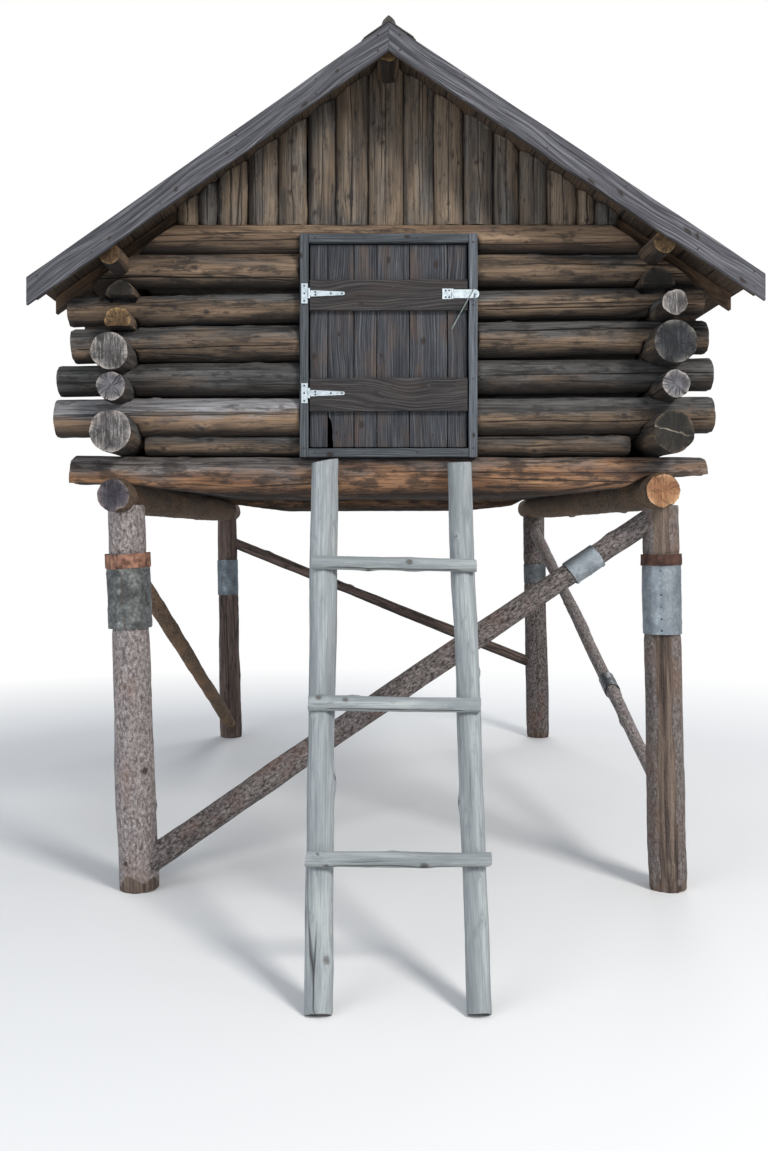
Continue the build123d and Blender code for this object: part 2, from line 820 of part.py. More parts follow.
# Door: upright boards behind two rails, with a split at the foot of the first joint
door_left = inner_left + DOOR_CLEARANCE
door_right = inner_right - DOOR_CLEARANCE
door_bottom = inner_bottom + DOOR_CLEARANCE
door_top = inner_top - DOOR_CLEARANCE
rail_front = casing_front
board_front = rail_front + RAIL_THICKNESS
board_edges = (door_left - BOARD_GAP / 2, *BOARD_JOINTS, door_right + BOARD_GAP / 2)
split_outline = [
    (BOARD_JOINTS[0] - SPLIT_HALF_WIDTH, door_bottom - FIT),
    (BOARD_JOINTS[0] + SPLIT_HALF_WIDTH, door_bottom - FIT),
    (BOARD_JOINTS[0], door_bottom + SPLIT_HEIGHT),
]
split_wedge = prism(split_outline, board_front - FIT, board_front + BOARD_THICKNESS + FIT)
with BuildPart() as door_boards:
    with BuildSketch(Plane.XY.offset(door_bottom)):
        for left, right in zip(board_edges, board_edges[1:]):
            with Locations(((left + right) / 2, board_front + BOARD_THICKNESS / 2)):
                Rectangle(right - left - BOARD_GAP, BOARD_THICKNESS)
    extrude(amount=door_top - door_bottom)
    add(split_wedge, mode=Mode.SUBTRACT)
pieces["door_boards"] = door_boards
for name, (low, high) in {"top": TOP_RAIL, "bottom": BOTTOM_RAIL}.items():
    pieces[f"door_rail_{name}"] = block(
        (door_left, rail_front, CASING_BOTTOM + low),
        (door_right, board_front, CASING_BOTTOM + high),
    )

# T-hinges: plates with the outer knuckles and pin on the casing, straps on the rails
hinge_y = casing_front - HINGE_KNUCKLE - FIT
hinge_heights = [CASING_BOTTOM + rise for rise in HINGE_RISES]
with BuildPart() as hinge_plates:
    for height in hinge_heights:
        for side in SIDES.values():
            knuckle_length = (HINGE_BARREL - STRAP_KNUCKLE) / 2 - FIT
            centre = height + side * (HINGE_BARREL - knuckle_length) / 2
            with Locations((HINGE_X, hinge_y, centre)):
                Cylinder(HINGE_KNUCKLE, knuckle_length)
            tab = HINGE_KNUCKLE + HINGE_SHEET
            with Locations((HINGE_X - tab / 2, casing_front - FIT - HINGE_SHEET / 2, centre)):
                Box(tab, HINGE_SHEET, knuckle_length)
        with Locations((HINGE_X, hinge_y, height)):
            Cylinder(HINGE_PIN, HINGE_BARREL)
        plate_x = HINGE_X - HINGE_KNUCKLE - KNUCKLE_GAP - HINGE_PLATE_WIDTH / 2
        with Locations((plate_x, casing_front - FIT - HINGE_SHEET / 2, height)):
            Box(HINGE_PLATE_WIDTH, HINGE_SHEET, HINGE_PLATE_HEIGHT)
pieces["hinge_plates"] = hinge_plates

with BuildPart() as hinge_straps:
    for height in hinge_heights:
        root_x = HINGE_X + HINGE_KNUCKLE + KNUCKLE_GAP
        tip_x = HINGE_X + STRAP_LENGTH
        with BuildSketch(cross_plane(rail_front - FIT)):
            with BuildLine():
                Polyline(
                    (HINGE_X, height - STRAP_KNUCKLE / 2),
                    (root_x, height - STRAP_KNUCKLE / 2),
                    (root_x, height - STRAP_ROOT / 2),
                    (tip_x, height - STRAP_TIP / 2),
                )
                ThreePointArc(
                    (tip_x, height - STRAP_TIP / 2),
                    (tip_x + STRAP_TIP / 2, height),
                    (tip_x, height + STRAP_TIP / 2),
                )
                Polyline(
                    (tip_x, height + STRAP_TIP / 2),
                    (root_x, height + STRAP_ROOT / 2),
                    (root_x, height + STRAP_KNUCKLE / 2),
                    (HINGE_X, height + STRAP_KNUCKLE / 2),
                    (HINGE_X, height - STRAP_KNUCKLE / 2),
                )
            make_face()
        extrude(amount=HINGE_SHEET)
        with Locations((HINGE_X, hinge_y, height)):
            Cylinder(HINGE_KNUCKLE, STRAP_KNUCKLE)
            Cylinder(HINGE_PIN + HINGE_BORE_PLAY, STRAP_KNUCKLE, mode=Mode.SUBTRACT)
pieces["hinge_straps"] = hinge_straps

# Hasp: plate with the outer knuckles and pin on the door, slotted leaf, staple on the casing
hasp_y = rail_front - HASP_KNUCKLE - FIT
with BuildPart() as hasp_plate:
    for side in SIDES.values():
        knuckle_length = (HASP_BARREL - HASP_LEAF_KNUCKLE) / 2 - FIT
        centre = HASP_Z + side * (HASP_BARREL - knuckle_length) / 2
        with Locations((HASP_X, hasp_y, centre)):
            Cylinder(HASP_KNUCKLE, knuckle_length)
        tab = HASP_KNUCKLE + HASP_SHEET
        with Locations((HASP_X - tab / 2, rail_front - FIT - HASP_SHEET / 2, centre)):
            Box(tab, HASP_SHEET, knuckle_length)
    with Locations((HASP_X, hasp_y, HASP_Z)):
        Cylinder(HASP_PIN, HASP_BARREL)
    plate_x = HASP_X - HASP_KNUCKLE - KNUCKLE_GAP - HASP_PLATE_WIDTH / 2
    with Locations((plate_x, rail_front - FIT - HASP_SHEET / 2, HASP_Z)):
        Box(HASP_PLATE_WIDTH, HASP_SHEET, HASP_PLATE_HEIGHT)
pieces["hasp_plate"] = hasp_plate

leaf_back = rail_front - LEAF_GAP
with BuildPart() as hasp_leaf:
    root_x = HASP_X + HASP_KNUCKLE + KNUCKLE_GAP
    round_x = HASP_LEAF_TIP - HASP_LEAF_HEIGHT / 2
    with BuildSketch(cross_plane(leaf_back)):
        with BuildLine():
            Polyline(
                (round_x, HASP_Z - HASP_LEAF_HEIGHT / 2),
                (root_x, HASP_Z - HASP_LEAF_HEIGHT / 2),
                (root_x, HASP_Z - HASP_LEAF_KNUCKLE / 2),
                (HASP_X, HASP_Z - HASP_LEAF_KNUCKLE / 2),
                (HASP_X, HASP_Z + HASP_LEAF_KNUCKLE / 2),
                (root_x, HASP_Z + HASP_LEAF_KNUCKLE / 2),
                (root_x, HASP_Z + HASP_LEAF_HEIGHT / 2),
                (round_x, HASP_Z + HASP_LEAF_HEIGHT / 2),
            )
            ThreePointArc(
                (round_x, HASP_Z + HASP_LEAF_HEIGHT / 2),
                (HASP_LEAF_TIP, HASP_Z),
                (round_x, HASP_Z - HASP_LEAF_HEIGHT / 2),
            )
        make_face()
        with Locations((STAPLE_X, HASP_Z - SLOT_DROP)):
            SlotOverall(SLOT_HEIGHT, SLOT_WIDTH, rotation=90, mode=Mode.SUBTRACT)
    extrude(amount=HASP_SHEET)
    with Locations((HASP_X, hasp_y, HASP_Z)):
        Cylinder(HASP_KNUCKLE, HASP_LEAF_KNUCKLE)
        Cylinder(HASP_PIN + HINGE_BORE_PLAY, HASP_LEAF_KNUCKLE, mode=Mode.SUBTRACT)
pieces["hasp_leaf"] = hasp_leaf

with BuildPart() as hasp_staple:
    with BuildLine() as staple_path:
        FilletPolyline(
            (STAPLE_X, casing_front, STAPLE_Z - STAPLE_LEG),
            (STAPLE_X, casing_front - STAPLE_REACH, STAPLE_Z - STAPLE_LEG),
            (STAPLE_X, casing_front - STAPLE_REACH, STAPLE_Z + STAPLE_LEG),
            (STAPLE_X, casing_front, STAPLE_Z + STAPLE_LEG),
            radius=STAPLE_BEND,
        )
    with BuildSketch(cross_plane(casing_front)):
        with Locations((STAPLE_X, STAPLE_Z - STAPLE_LEG)):
            Circle(STAPLE_WIRE)
    sweep()
pieces["hasp_staple"] = hasp_staple

rod_y = leaf_back - HASP_SHEET - FIT - ROD_RADIUS
rod_ends = [(x, rod_y, HASP_Z + rise) for x, rise in (ROD_BOTTOM, ROD_TOP)]
with BuildPart() as hasp_rod:
    Pole(*rod_ends, ROD_RADIUS, ROD_RADIUS).draw()
pieces["hasp_rod"] = hasp_rod

# Ladder: two stiles leaning on the front sill log, and rungs scribed to their fronts
stiles = {}
for name, (foot_x, top_x, top_rise, foot_radius, top_radius) in LADDER_STILES.items():
    sill_radius = sills["front"].radius(sills["front"].share_at_x(top_x))
    lean = stile_lean(top_rise, foot_radius, top_radius, sill_radius)
    top_height = SILL_HEIGHT + top_rise
    foot_y = FRONT_Y - LADDER_REACH
    stiles[name] = Pole(
        (foot_x, foot_y, 0),
        (top_x, foot_y + top_height * tan(lean), top_height),
        foot_radius,
        top_radius,
    )
for name, stile in stiles.items():
    with BuildPart() as stile_piece:
        stile.draw(first=-STILE_BURIED_SHARE)
        split(bisect_by=Plane.XY, keep=Keep.TOP)
    pieces[f"ladder_stile_{name}"] = stile_piece

for name, (share, left_end, right_end) in LADDER_RUNGS.items():
    marks = {}
    for side_name, stile in stiles.items():
        run = (stile.end - stile.start).normalized()
        forward = run.cross(Vector(1, 0, 0)).normalized()
        if forward.Y > 0:
            forward = forward * -1
        out = stile.radius(share) + RUNG_RADIUS - RUNG_LET_IN
        marks[side_name] = stile.place(share) + forward * out
    slope = (marks["right"] - marks["left"]) / (marks["right"].X - marks["left"].X)
    rung = Pole(
        marks["left"] + slope * (left_end - marks["left"].X),
        marks["left"] + slope * (right_end - marks["left"].X),
        RUNG_RADIUS,
        RUNG_RADIUS - RUNG_TAPER,
    )
    with BuildPart() as rung_piece:
        rung.draw()
        add([grown(stile) for stile in stiles.values()], mode=Mode.SUBTRACT)
    pieces[f"ladder_rung_{name}"] = rung_piece

# Written files, one for each piece
os.makedirs("parts", exist_ok=True)
for name, piece in pieces.items():
    piece.part.label = name
    export_step(piece.part, f"parts/{name}.step")
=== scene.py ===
import math
from itertools import product

import bpy
import mathutils
import numpy as np
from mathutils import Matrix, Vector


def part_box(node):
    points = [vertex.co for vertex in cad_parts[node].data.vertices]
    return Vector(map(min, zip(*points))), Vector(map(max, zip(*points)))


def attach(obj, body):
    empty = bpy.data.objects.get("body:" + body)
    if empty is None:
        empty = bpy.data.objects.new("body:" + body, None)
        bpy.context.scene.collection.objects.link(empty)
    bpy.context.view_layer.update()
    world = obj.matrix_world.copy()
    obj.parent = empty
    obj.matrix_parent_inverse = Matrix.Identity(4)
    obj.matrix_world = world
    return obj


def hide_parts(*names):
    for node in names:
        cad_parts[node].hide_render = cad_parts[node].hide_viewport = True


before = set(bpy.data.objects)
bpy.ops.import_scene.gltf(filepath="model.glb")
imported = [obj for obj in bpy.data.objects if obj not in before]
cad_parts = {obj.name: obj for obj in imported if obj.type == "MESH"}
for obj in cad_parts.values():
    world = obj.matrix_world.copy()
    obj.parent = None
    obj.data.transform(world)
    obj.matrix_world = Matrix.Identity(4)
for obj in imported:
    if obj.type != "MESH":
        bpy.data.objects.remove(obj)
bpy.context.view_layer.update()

# The looks of a raised log cache. Metres. +X to the right and +Y to the back as the front is
# faced, +Z up. Each log, board and sheet is shaped round its solid in the frame.

MM = 0.001
TURN = 2 * math.pi
WELD = 0.02 * MM
FRONT, BACK = WALLS = ("front", "back")
SIDES = {"left": -1, "right": 1}
TOWARDS_VIEWER = (0, -1, 0)


# Reading the frame
def middle(points):
    return (points.min(0) + points.max(0)) / 2


def solids(node, axis=None):
    """The solids of a node, each as an array of its points, in order along an axis if given."""
    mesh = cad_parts[node].data
    points = np.empty(len(mesh.vertices) * 3)
    mesh.vertices.foreach_get("co", points)
    points = points.reshape(-1, 3)
    _, same = np.unique(np.round(points / WELD).astype(np.int64), axis=0, return_inverse=True)
    same = same.ravel()
    leader = list(range(same.max() + 1))

    def lead(item):
        while leader[item] != item:
            leader[item] = leader[leader[item]]
            item = leader[item]
        return item

    for face in mesh.polygons:
        first, *others = (lead(same[corner]) for corner in face.vertices)
        for other in others:
            leader[lead(other)] = lead(first)
    owner = np.array([lead(item) for item in same])
    parts = [points[owner == one] for one in np.unique(owner)]
    return parts if axis is None else sorted(parts, key=lambda part: middle(part)[axis])


def box(node):
    return [np.array(corner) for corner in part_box(node)]


def end_circle(points, axis, at_high):
    """Centre and radius of a level log's end, from its width across and its top."""
    end = points[:, axis].max() if at_high else points[:, axis].min()
    near = points[np.abs(points[:, axis] - end) < 4 * MM]
    across = near[:, 1 - axis]
    radius = (across.max() - across.min()) / 2
    centre = np.empty(3)
    centre[axis], centre[1 - axis] = end, (across.max() + across.min()) / 2
    centre[2] = near[:, 2].max() - radius
    return centre, radius


def line_of(points, axis):
    """Centre and radius at both ends of a level log."""
    return (*end_circle(points, axis, False), *end_circle(points, axis, True))


def unit(vector):
    return vector / np.linalg.norm(vector)


def square_to(run, helper):
    """Two directions square to a run, the first square to the helper too."""
    side = unit(np.cross(helper, run))
    return side, np.cross(run, side)


# Smooth noise
LATTICE = np.random.default_rng(7).uniform(-1, 1, (32, 32, 32))


def waver(points, seed=0.0):
    """Smooth noise from -1 to 1 at an array of points."""
    points = np.asarray(points, float) + seed * np.array((3.17, 7.31, 1.73))
    cell = np.floor(points).astype(int)
    part = points - cell
    part = part * part * (3 - 2 * part)
    total = 0.0
    for corner in product((0, 1), repeat=3):
        weight = np.prod(np.where(corner, part, 1 - part), axis=-1)
        where = (cell + corner) % LATTICE.shape[0]
        total = total + weight * LATTICE[where[..., 0], where[..., 1], where[..., 2]]
    return total


def spread(*values):
    """Arrays or numbers joined as the places of an array of points."""
    return np.stack(np.broadcast_arrays(*values), -1)


def waver_along(values, seed):
    return waver(spread(values, values, values), seed)


def ease(value, low, high):
    """0 below low, 1 above high, and a smooth step between."""
    share = np.clip((value - low) / (high - low), 0, 1)
    return share * share * (3 - 2 * share)


def arc_from(turns, turn):
    return (turns - turn + math.pi) % TURN - math.pi


# Material nodes
def colour(code):
    """A colour from six hexadecimal digits of its screen value."""
    parts = [int(code[i : i + 2], 16) / 255 for i in (0, 2, 4)]
    return [p / 12.92 if p <= 0.04045 else ((p + 0.055) / 1.055) ** 2.4 for p in parts] + [1.0]


class Value:
    """What a node gives. Sums and products of values are nodes too."""

    def __init__(self, nodes, socket):
        self.nodes, self.socket = nodes, socket

    def math(self, operation, other=None):
        return self.nodes.add("Math", {0: self, 1: other}, operation=operation)

    def __add__(self, other):
        return self.math("ADD", other)

    def __mul__(self, other):
        return self.math("MULTIPLY", other)

    def swayed(self, noise, amount):
        """The value moved up and down by noise."""
        return self + (noise + -0.5) * amount

    def ramp(self, *stops):
        """Colours or greys along the value, each stop a place and a shade."""
        node = self.nodes.node("ValToRGB", {0: self})
        elements = node.color_ramp.elements
        while len(elements) < len(stops):
            elements.new(1.0)
        for element, (place, shade) in zip(elements, stops):
            element.position = place
            element.color = colour(shade) if isinstance(shade, str) else (shade,) * 3 + (1,)
        return Value(self.nodes, node.outputs[0])


class Nodes:
    """A node tree with short calls to fill it."""

    def __init__(self, tree):
        self.tree = tree
        tree.nodes.clear()

    def plug(self, node, inputs):
        """Sets a node's inputs, or links them to what other nodes give."""
        for place, value in inputs.items():
            if isinstance(value, Value):
                self.tree.links.new(value.socket, node.inputs[place])
            elif value is not None:
                plain = colour(value) if isinstance(value, str) else value
                node.inputs[place].default_value = plain

    def node(self, kind, inputs, **settings):
        node = self.tree.nodes.new("ShaderNode" + kind)
        for name, value in settings.items():
            setattr(node, name, value)
        self.plug(node, inputs)
        return node

    def add(self, kind, inputs, place=0, **settings):
        """A new node, as the value that it gives at one of its outputs."""
        return Value(self, self.node(kind, inputs, **settings).outputs[place])

    def split(self, vector):
        return [self.add("SeparateXYZ", {0: vector}, place) for place in range(3)]

    def away(self, x, y):
        """Distance from the middle."""
        return (x * x + y * y).math("POWER", 0.5)


class Look(Nodes):
    """A material, its base laid on coat by coat."""

    def __init__(self, name, metallic=0.0):
        self.material = bpy.data.materials.new(name)
        self.material.use_nodes = True
        super().__init__(self.material.node_tree)
        self.shader = self.node("BsdfPrincipled", {"Metallic": metallic})
        self.surface = Value(self, self.shader.outputs[0])
        self.output = self.node("OutputMaterial", {"Surface": self.surface})
        self.grain = self.attribute("grain", "Vector")

    def attribute(self, name, place="Fac"):
        return self.add("Attribute", {}, place, attribute_name=name)

    def stretched(self, scale):
        """The grain stretched by a scale on each axis."""
        return self.add("VectorMath", {0: self.grain, 1: scale}, operation="MULTIPLY")

    def noise(self, vector, scale, detail=4.0, rough=0.55, warp=0.0):
        inputs = {"Scale": scale, "Detail": detail, "Roughness": rough, "Distortion": warp}
        return self.add("TexNoise", {"Vector": vector, **inputs})

    def fibres(self, scale, *how):
        """Noise along the grain."""
        return self.noise(self.stretched(scale), 1.0, *how)

    def cells(self, vector, feature="DISTANCE_TO_EDGE"):
        inputs = {"Vector": vector, "Scale": 1.0}
        return self.add("TexVoronoi", inputs, "Distance", feature=feature)

    def joined(self, *parts):
        return self.add("CombineXYZ", dict(enumerate(parts)))

    def mix(self, share, first, second, blend="MIX"):
        inputs = {0: share, 6: first, 7: second}
        return self.add("Mix", inputs, 2, data_type="RGBA", blend_type=blend)

    def lay(self, share, shade, blend="MIX"):
        """Lays a shade over the base."""
        self.base = self.mix(share, self.base, shade, blend)

    def tint(self):
        """Gives each log or board its own lightness; the back sill's lowered tone is painted
        shade.
        """
        self.lay(1.0, self.joined(*[self.attribute("tone")] * 3), "MULTIPLY")

    def finish(self, roughness, height, depth):
        """The material, with a bump of a depth in millimetres."""
        bump = self.add("Bump", {"Strength": 1.0, "Distance": depth * MM, "Height": height})
        self.plug(self.shader, {"Base Color": self.base, "Roughness": roughness, "Normal": bump})
        return self.material


# Wood materials. Points carry "grain", their place across and along the wood in metres, "age"
# from fresh to grey, "tone" for a log's own lightness, "knot" near a knot, "check" in a long
# check, "bare" where bark is off and "rise" from 0 facing down to 1 facing up. Faces turned
# down and the long checks get painted shade, and a lowered tone paints shade on the back sill.
def log_side(name, fresh, warm, grey, dark, crack_share=0.5, blot_from=0.6, knot_shade=None,
             painted_underside_shade=0.9):
    """The long face of a peeled log: fibre streaks, drying checks, knots and grey weathering, with
    painted shade on its undersides and in its long checks.
    """
    look = Look(name)
    streak = look.fibres((26, 26, 1.3), 6, 0.62, 0.3)
    fibre = look.fibres((150, 150, 5), 5, 0.7)
    patch = look.fibres((7, 7, 2.2), 4, 0.6)
    look.base = look.mix(streak.ramp((0.34, 0.0), (0.66, 1.0)), warm, fresh)
    grey_wood = look.mix(streak.ramp((0.3, 0.0), (0.7, 1.0)), dark, grey)
    look.lay(look.attribute("age").swayed(patch, 1.5).ramp((0.34, 0.0), (0.66, 1.0)), grey_wood)
    look.lay(fibre.ramp((0.34, 0.75), (0.56, 0.0)), dark)
    crack = look.cells(look.stretched((17, 17, 0.85))).ramp((0.0, 1.0), (0.05, 0.0))
    where = look.fibres((9, 9, 1.1), 2)
    crack = crack * where.ramp((crack_share, 0.0), (crack_share + 0.12, 1.0))
    look.lay(crack * 0.85, "1a1512")
    blot = look.fibres((30, 30, 9), 6, 0.68)
    look.lay(blot.ramp((blot_from - 0.05, 0.0), (blot_from + 0.05, 0.75)), dark)
    knot = look.attribute("knot").swayed(patch, 0.9)
    look.lay(knot.ramp((0.3, 0.0), (0.9, 0.8)), knot_shade or dark)
    # Painted shade: faces turned down darken towards near-black.
    low = look.attribute("rise").swayed(patch, 0.5)
    look.lay(low.ramp((0.08, painted_underside_shade), (0.34, 0.0)), "16110e")
    # Painted shade deep in the long checks, near-black.
    look.lay(look.attribute("check") * 0.95, "0d0a09")
    look.tint()
    height = streak * 0.5 + fibre * 0.5 + crack * -1.6
    return look.finish(fibre.ramp((0.3, 0.95), (0.7, 0.78)), height, 4.5)


def log_end(name, face, dark, rim, cracks=0.6, saw=0.3, rings=0.5, rays=0.3, slash=None):
    """A weathered end: fibre, radial drying cracks, saw marks, growth rings and a torn rim."""
    look = Look(name)
    x, y, z = look.split(look.grain)
    away = look.away(x, y)
    uneven = look.fibres((22, 22, 22), 3)
    ring = ((away + uneven * 0.012) * 900.0).math("SINE")
    turn = y.math("ARCTAN2", x) + uneven * 0.7
    crack = look.cells(look.joined(turn * 1.3, away * 4.0, z)).ramp((0.0, 1.0), (0.03, 0.0))
    fine = look.noise(look.joined(turn * 12.0, away * 12.0, z), 1.0, 5, 0.7)
    marks = look.fibres((120, 11, 1), 5, 0.7, 0.5)
    fibre = look.fibres((120, 120, 9), 5, 0.7)
    stain = look.fibres((16, 16, 5), 4, 0.6)
    look.base = look.mix(stain.ramp((0.35, 0.0), (0.65, 1.0)), dark, face)
    look.lay(fibre.ramp((0.35, 1.0), (0.6, 0.0)) * 0.6, dark)
    look.lay(marks.ramp((0.42, 1.0), (0.56, 0.0)) * saw, dark)
    look.lay(marks.ramp((0.55, 0.0), (0.68, 1.0)) * (saw * 0.7), rim)
    look.lay(fine.ramp((0.42, 1.0), (0.54, 0.0)) * rays, dark)
    look.lay(ring.ramp((0.0, 1.0), (1.0, 0.0)) * (rings * 0.4), dark)
    look.lay(stain.ramp((0.42, 0.0), (0.6, 1.0)) * look.attribute("rim"), rim)
    if slash:
        tilt, shade = slash
        line = (y + x * tilt).swayed(uneven, 0.03).math("ABSOLUTE") * 100.0
        patches = stain.ramp((0.4, 0.15), (0.6, 1.0))
        look.lay(line.ramp((0.1, 1.0), (0.35, 0.0)) * patches, shade)
    look.lay(crack * cracks, "14110f")
    return look.finish(0.92, crack * -cracks + marks * saw + fibre * 0.5, 4.0)


def bark(name, plate, gap, inner, bare_share=0.3):
    """Scaly bark in small plates, worn through to reddish inner bark in places."""
    look = Look(name)
    scale = look.cells(look.stretched((60, 60, 34)))
    chips = look.fibres((80, 80, 48), 5, 0.65)
    patch = look.fibres((9, 9, 5), 4, 0.6)
    specks = look.fibres((210, 210, 150), 4, 0.7)
    look.base = look.mix(chips.ramp((0.35, 0.0), (0.62, 1.0)), gap, plate)
    look.lay(scale.ramp((0.0, 0.35), (0.14, 0.0)), gap)
    look.lay(specks.ramp((0.34, 0.75), (0.52, 0.0)), gap)
    look.lay(patch.ramp((1 - bare_share - 0.25, 0.0), (1 - bare_share, 0.7)), inner)
    look.lay(look.attribute("knot").ramp((0.25, 0.0), (0.75, 0.85)), "2b1d15")
    streak = look.fibres((60, 60, 2.5), 5, 0.65)
    bare_wood = streak.ramp((0.36, "352b26"), (0.5, "62534a"), (0.66, "857568"))
    bare = look.attribute("bare").swayed(patch, 0.8)
    look.lay(bare.ramp((0.45, 0.0), (0.6, 1.0)), bare_wood)
    look.tint()
    height = scale.ramp((0.0, 0.0), (0.22, 0.5)) + chips * 1.3 + specks * 0.7
    return look.finish(0.95, height, 5.0)


def board(name, light, mid, dark, curve, raised, lines_a_metre=150.0, warm=None, rained=None):
    """A weathered sawn board: curving growth lines that stand proud, knots and stains."""
    look = Look(name)
    x, y, z = look.split(look.grain)
    across = x.swayed(look.fibres((3.2, 3.2, 1.5), 2, 0.5), 0.16 * curve)
    line = look.joined(across * lines_a_metre, y * 30.0, z * 2.4)
    lines = look.noise(line, 1.0, 5, 0.65, 0.3)
    fibre = look.fibres((330, 90, 9), 5, 0.7)
    patch = look.fibres((11, 11, 3.5), 5, 0.65)
    look.base = lines.ramp((0.32, dark), (0.48, mid), (0.68, light))
    look.lay(fibre.ramp((0.32, 0.5), (0.6, 0.0)), dark)
    if rained:
        washed = look.mix(lines.ramp((0.35, 0.0), (0.6, 1.0)), mid, rained)
        look.lay((y * 40.0).ramp((0.15, 0.85), (0.5, 0.0)), washed)
    if warm:
        look.lay(patch.ramp((0.48, 0.0), (0.68, 0.55)), warm)
    look.lay(patch.ramp((0.28, 0.5), (0.46, 0.0)), dark)
    look.lay(look.attribute("knot").ramp((0.3, 0.0), (0.8, 0.9)), "2a211b")
    look.tint()
    rough = lines.ramp((0.3, 0.95), (0.7, 0.78))
    return look.finish(rough, lines * 1.2 + fibre * 0.35, raised)


def metal(name, sheet, dull, stain, roughness=0.42, stain_share=0.6, dents=0.6):
    """Zinc-coated sheet: mottled crystals, dull patches and stains."""
    look = Look(name, 0.85)
    flakes = look.cells(look.stretched((70, 70, 70)), "F1")
    cloud = look.noise(look.grain, 14.0, 5, 0.6)
    runs = look.fibres((40, 40, 4), 4, 0.6)
    look.base = look.mix(flakes.ramp((0.2, 0.0), (0.8, 0.6)), sheet, dull)
    look.lay(cloud.ramp((0.4, 0.0), (0.62, 0.8)), dull)
    look.lay(runs.ramp((stain_share, 0.0), (stain_share + 0.12, 0.8)), stain)
    rough = cloud.ramp((0.3, roughness - 0.1), (0.7, roughness + 0.2))
    return look.finish(rough, cloud, dents)


def rusty(name, light, dark, roughness=0.85):
    """Rusted sheet: flaking, pitted and uneven in colour."""
    look = Look(name, 0.2)
    cloud = look.noise(look.grain, 30.0, 6, 0.65)
    runs = look.fibres((60, 60, 6), 4, 0.6)
    look.base = look.mix(cloud.ramp((0.38, 0.0), (0.6, 1.0)), dark, light)
    look.lay(runs.ramp((0.5, 0.0), (0.7, 0.7)), "2c1a14")
    return look.finish(roughness, cloud, 1.2)


def hardware(name, light, dark, roughness):
    """Clouded metal for the pieces kept from the frame."""
    look = Look(name, 0.55)
    place = look.add("TexCoord", {}, "Object")
    cloud = look.noise(place, 40.0, 5, 0.6)
    fine = look.noise(place, 360.0, 3, 0.6)
    look.base = look.mix(cloud.ramp((0.36, 0.0), (0.64, 1.0)), dark, light)
    look.lay(fine.ramp((0.6, 0.0), (0.75, 0.2)), dark)
    rough = cloud.ramp((0.3, roughness + 0.15), (0.7, roughness - 0.08))
    return look.finish(rough, fine, 0.3)


def felt(name, dark, light, grit_shade):
    """Roofing felt: mineral grit and long folds."""
    look = Look(name)
    grit = look.noise(look.grain, 420.0, 3, 0.6)
    folds = look.noise(look.stretched((9, 3, 9)), 3.0, 5, 0.6)
    look.base = look.mix(folds.ramp((0.35, 0.0), (0.65, 1.0)), dark, light)
    look.lay(grit.ramp((0.45, 0.0), (0.62, 0.35)), grit_shade)
    return look.finish(0.92, grit + folds * 2.0, 1.5)


TAN_LOG = log_side("tan_log", "927a62", "5c4737", "6b6664", "261e19", 0.46, 0.58)
GREY_LOG = log_side("grey_log", "8e765f", "4e3f32", "6b6a69", "1f1c1a", 0.45, 0.55)
SILL_LOG = log_side("sill_log", "a97f5c", "6b4a34", "86807d", "241d1a", 0.50, 0.53)
RED_LOG = log_side("red_log", "857067", "50423b", "87807b", "28211f", 0.46)
SILVER_LOG = log_side("silver_log", "a88b70", "705a47", "b2b0b2", "3a3838")
SLAB = log_side("slab_wood", "8f7d69", "655545", "77726c", "2c2725", 0.52, 0.6, "2c211b")
# The bleached poles' last number gives them only light painted shade underneath.
BLEACHED = log_side(
    "bleached_pole", "b9bfbe", "a2a6a3", "b1b7b9", "7a8083", 0.58, 0.62, "4d4744", 0.25
)
PALE_BARK = bark("pale_bark", "b5acaa", "5a504e", "856a5c", 0.20)
ROUGH_BARK = bark("rough_bark", "938a86", "4c4340", "7a5b49")
DARK_BARK = bark("dark_bark", "7a634b", "2c221b", "7a5a40")
FLAKY_BARK = bark("flaky_bark", "948a87", "28211f", "725040", 0.20)
LOG_ENDS = [
    log_end("pale_end", "8f8c8c", "3f3c3b", "b8aea6", 0.5, 0.9, 0.1, 0.1),
    log_end("star_end", "88868a", "403e42", "b0a79f", 0.95, 0.15, 0.1, 0.75),
    log_end("black_end", "30333a", "17181b", "77726b", 0.5, 0.35, 0.3, 0.1),
    log_end("brown_end", "8a6c48", "443220", "a98a5e", 0.7, 0.5),
    log_end("dark_end", "3b342c", "1a1714", "5d5246", 0.6, 0.3, 0.9, 0.1),
    log_end("split_end", "33302a", "171512", "6a5c4c", 0.5, 0.3, 0.8, 0.1, (-0.25, "93877a")),
    log_end("dull_end", "55505a", "2c2930", "8c8078", 0.4, 0.4, 0.2, 0.1, (40.0, "17151a")),
    log_end("fresh_end", "b98a62", "7a5238", "c49f78", 0.45, 0.6),
]
PALE, STAR, BLACK, BROWN, DARK, SPLIT, DULL, FRESH = range(1, 9)
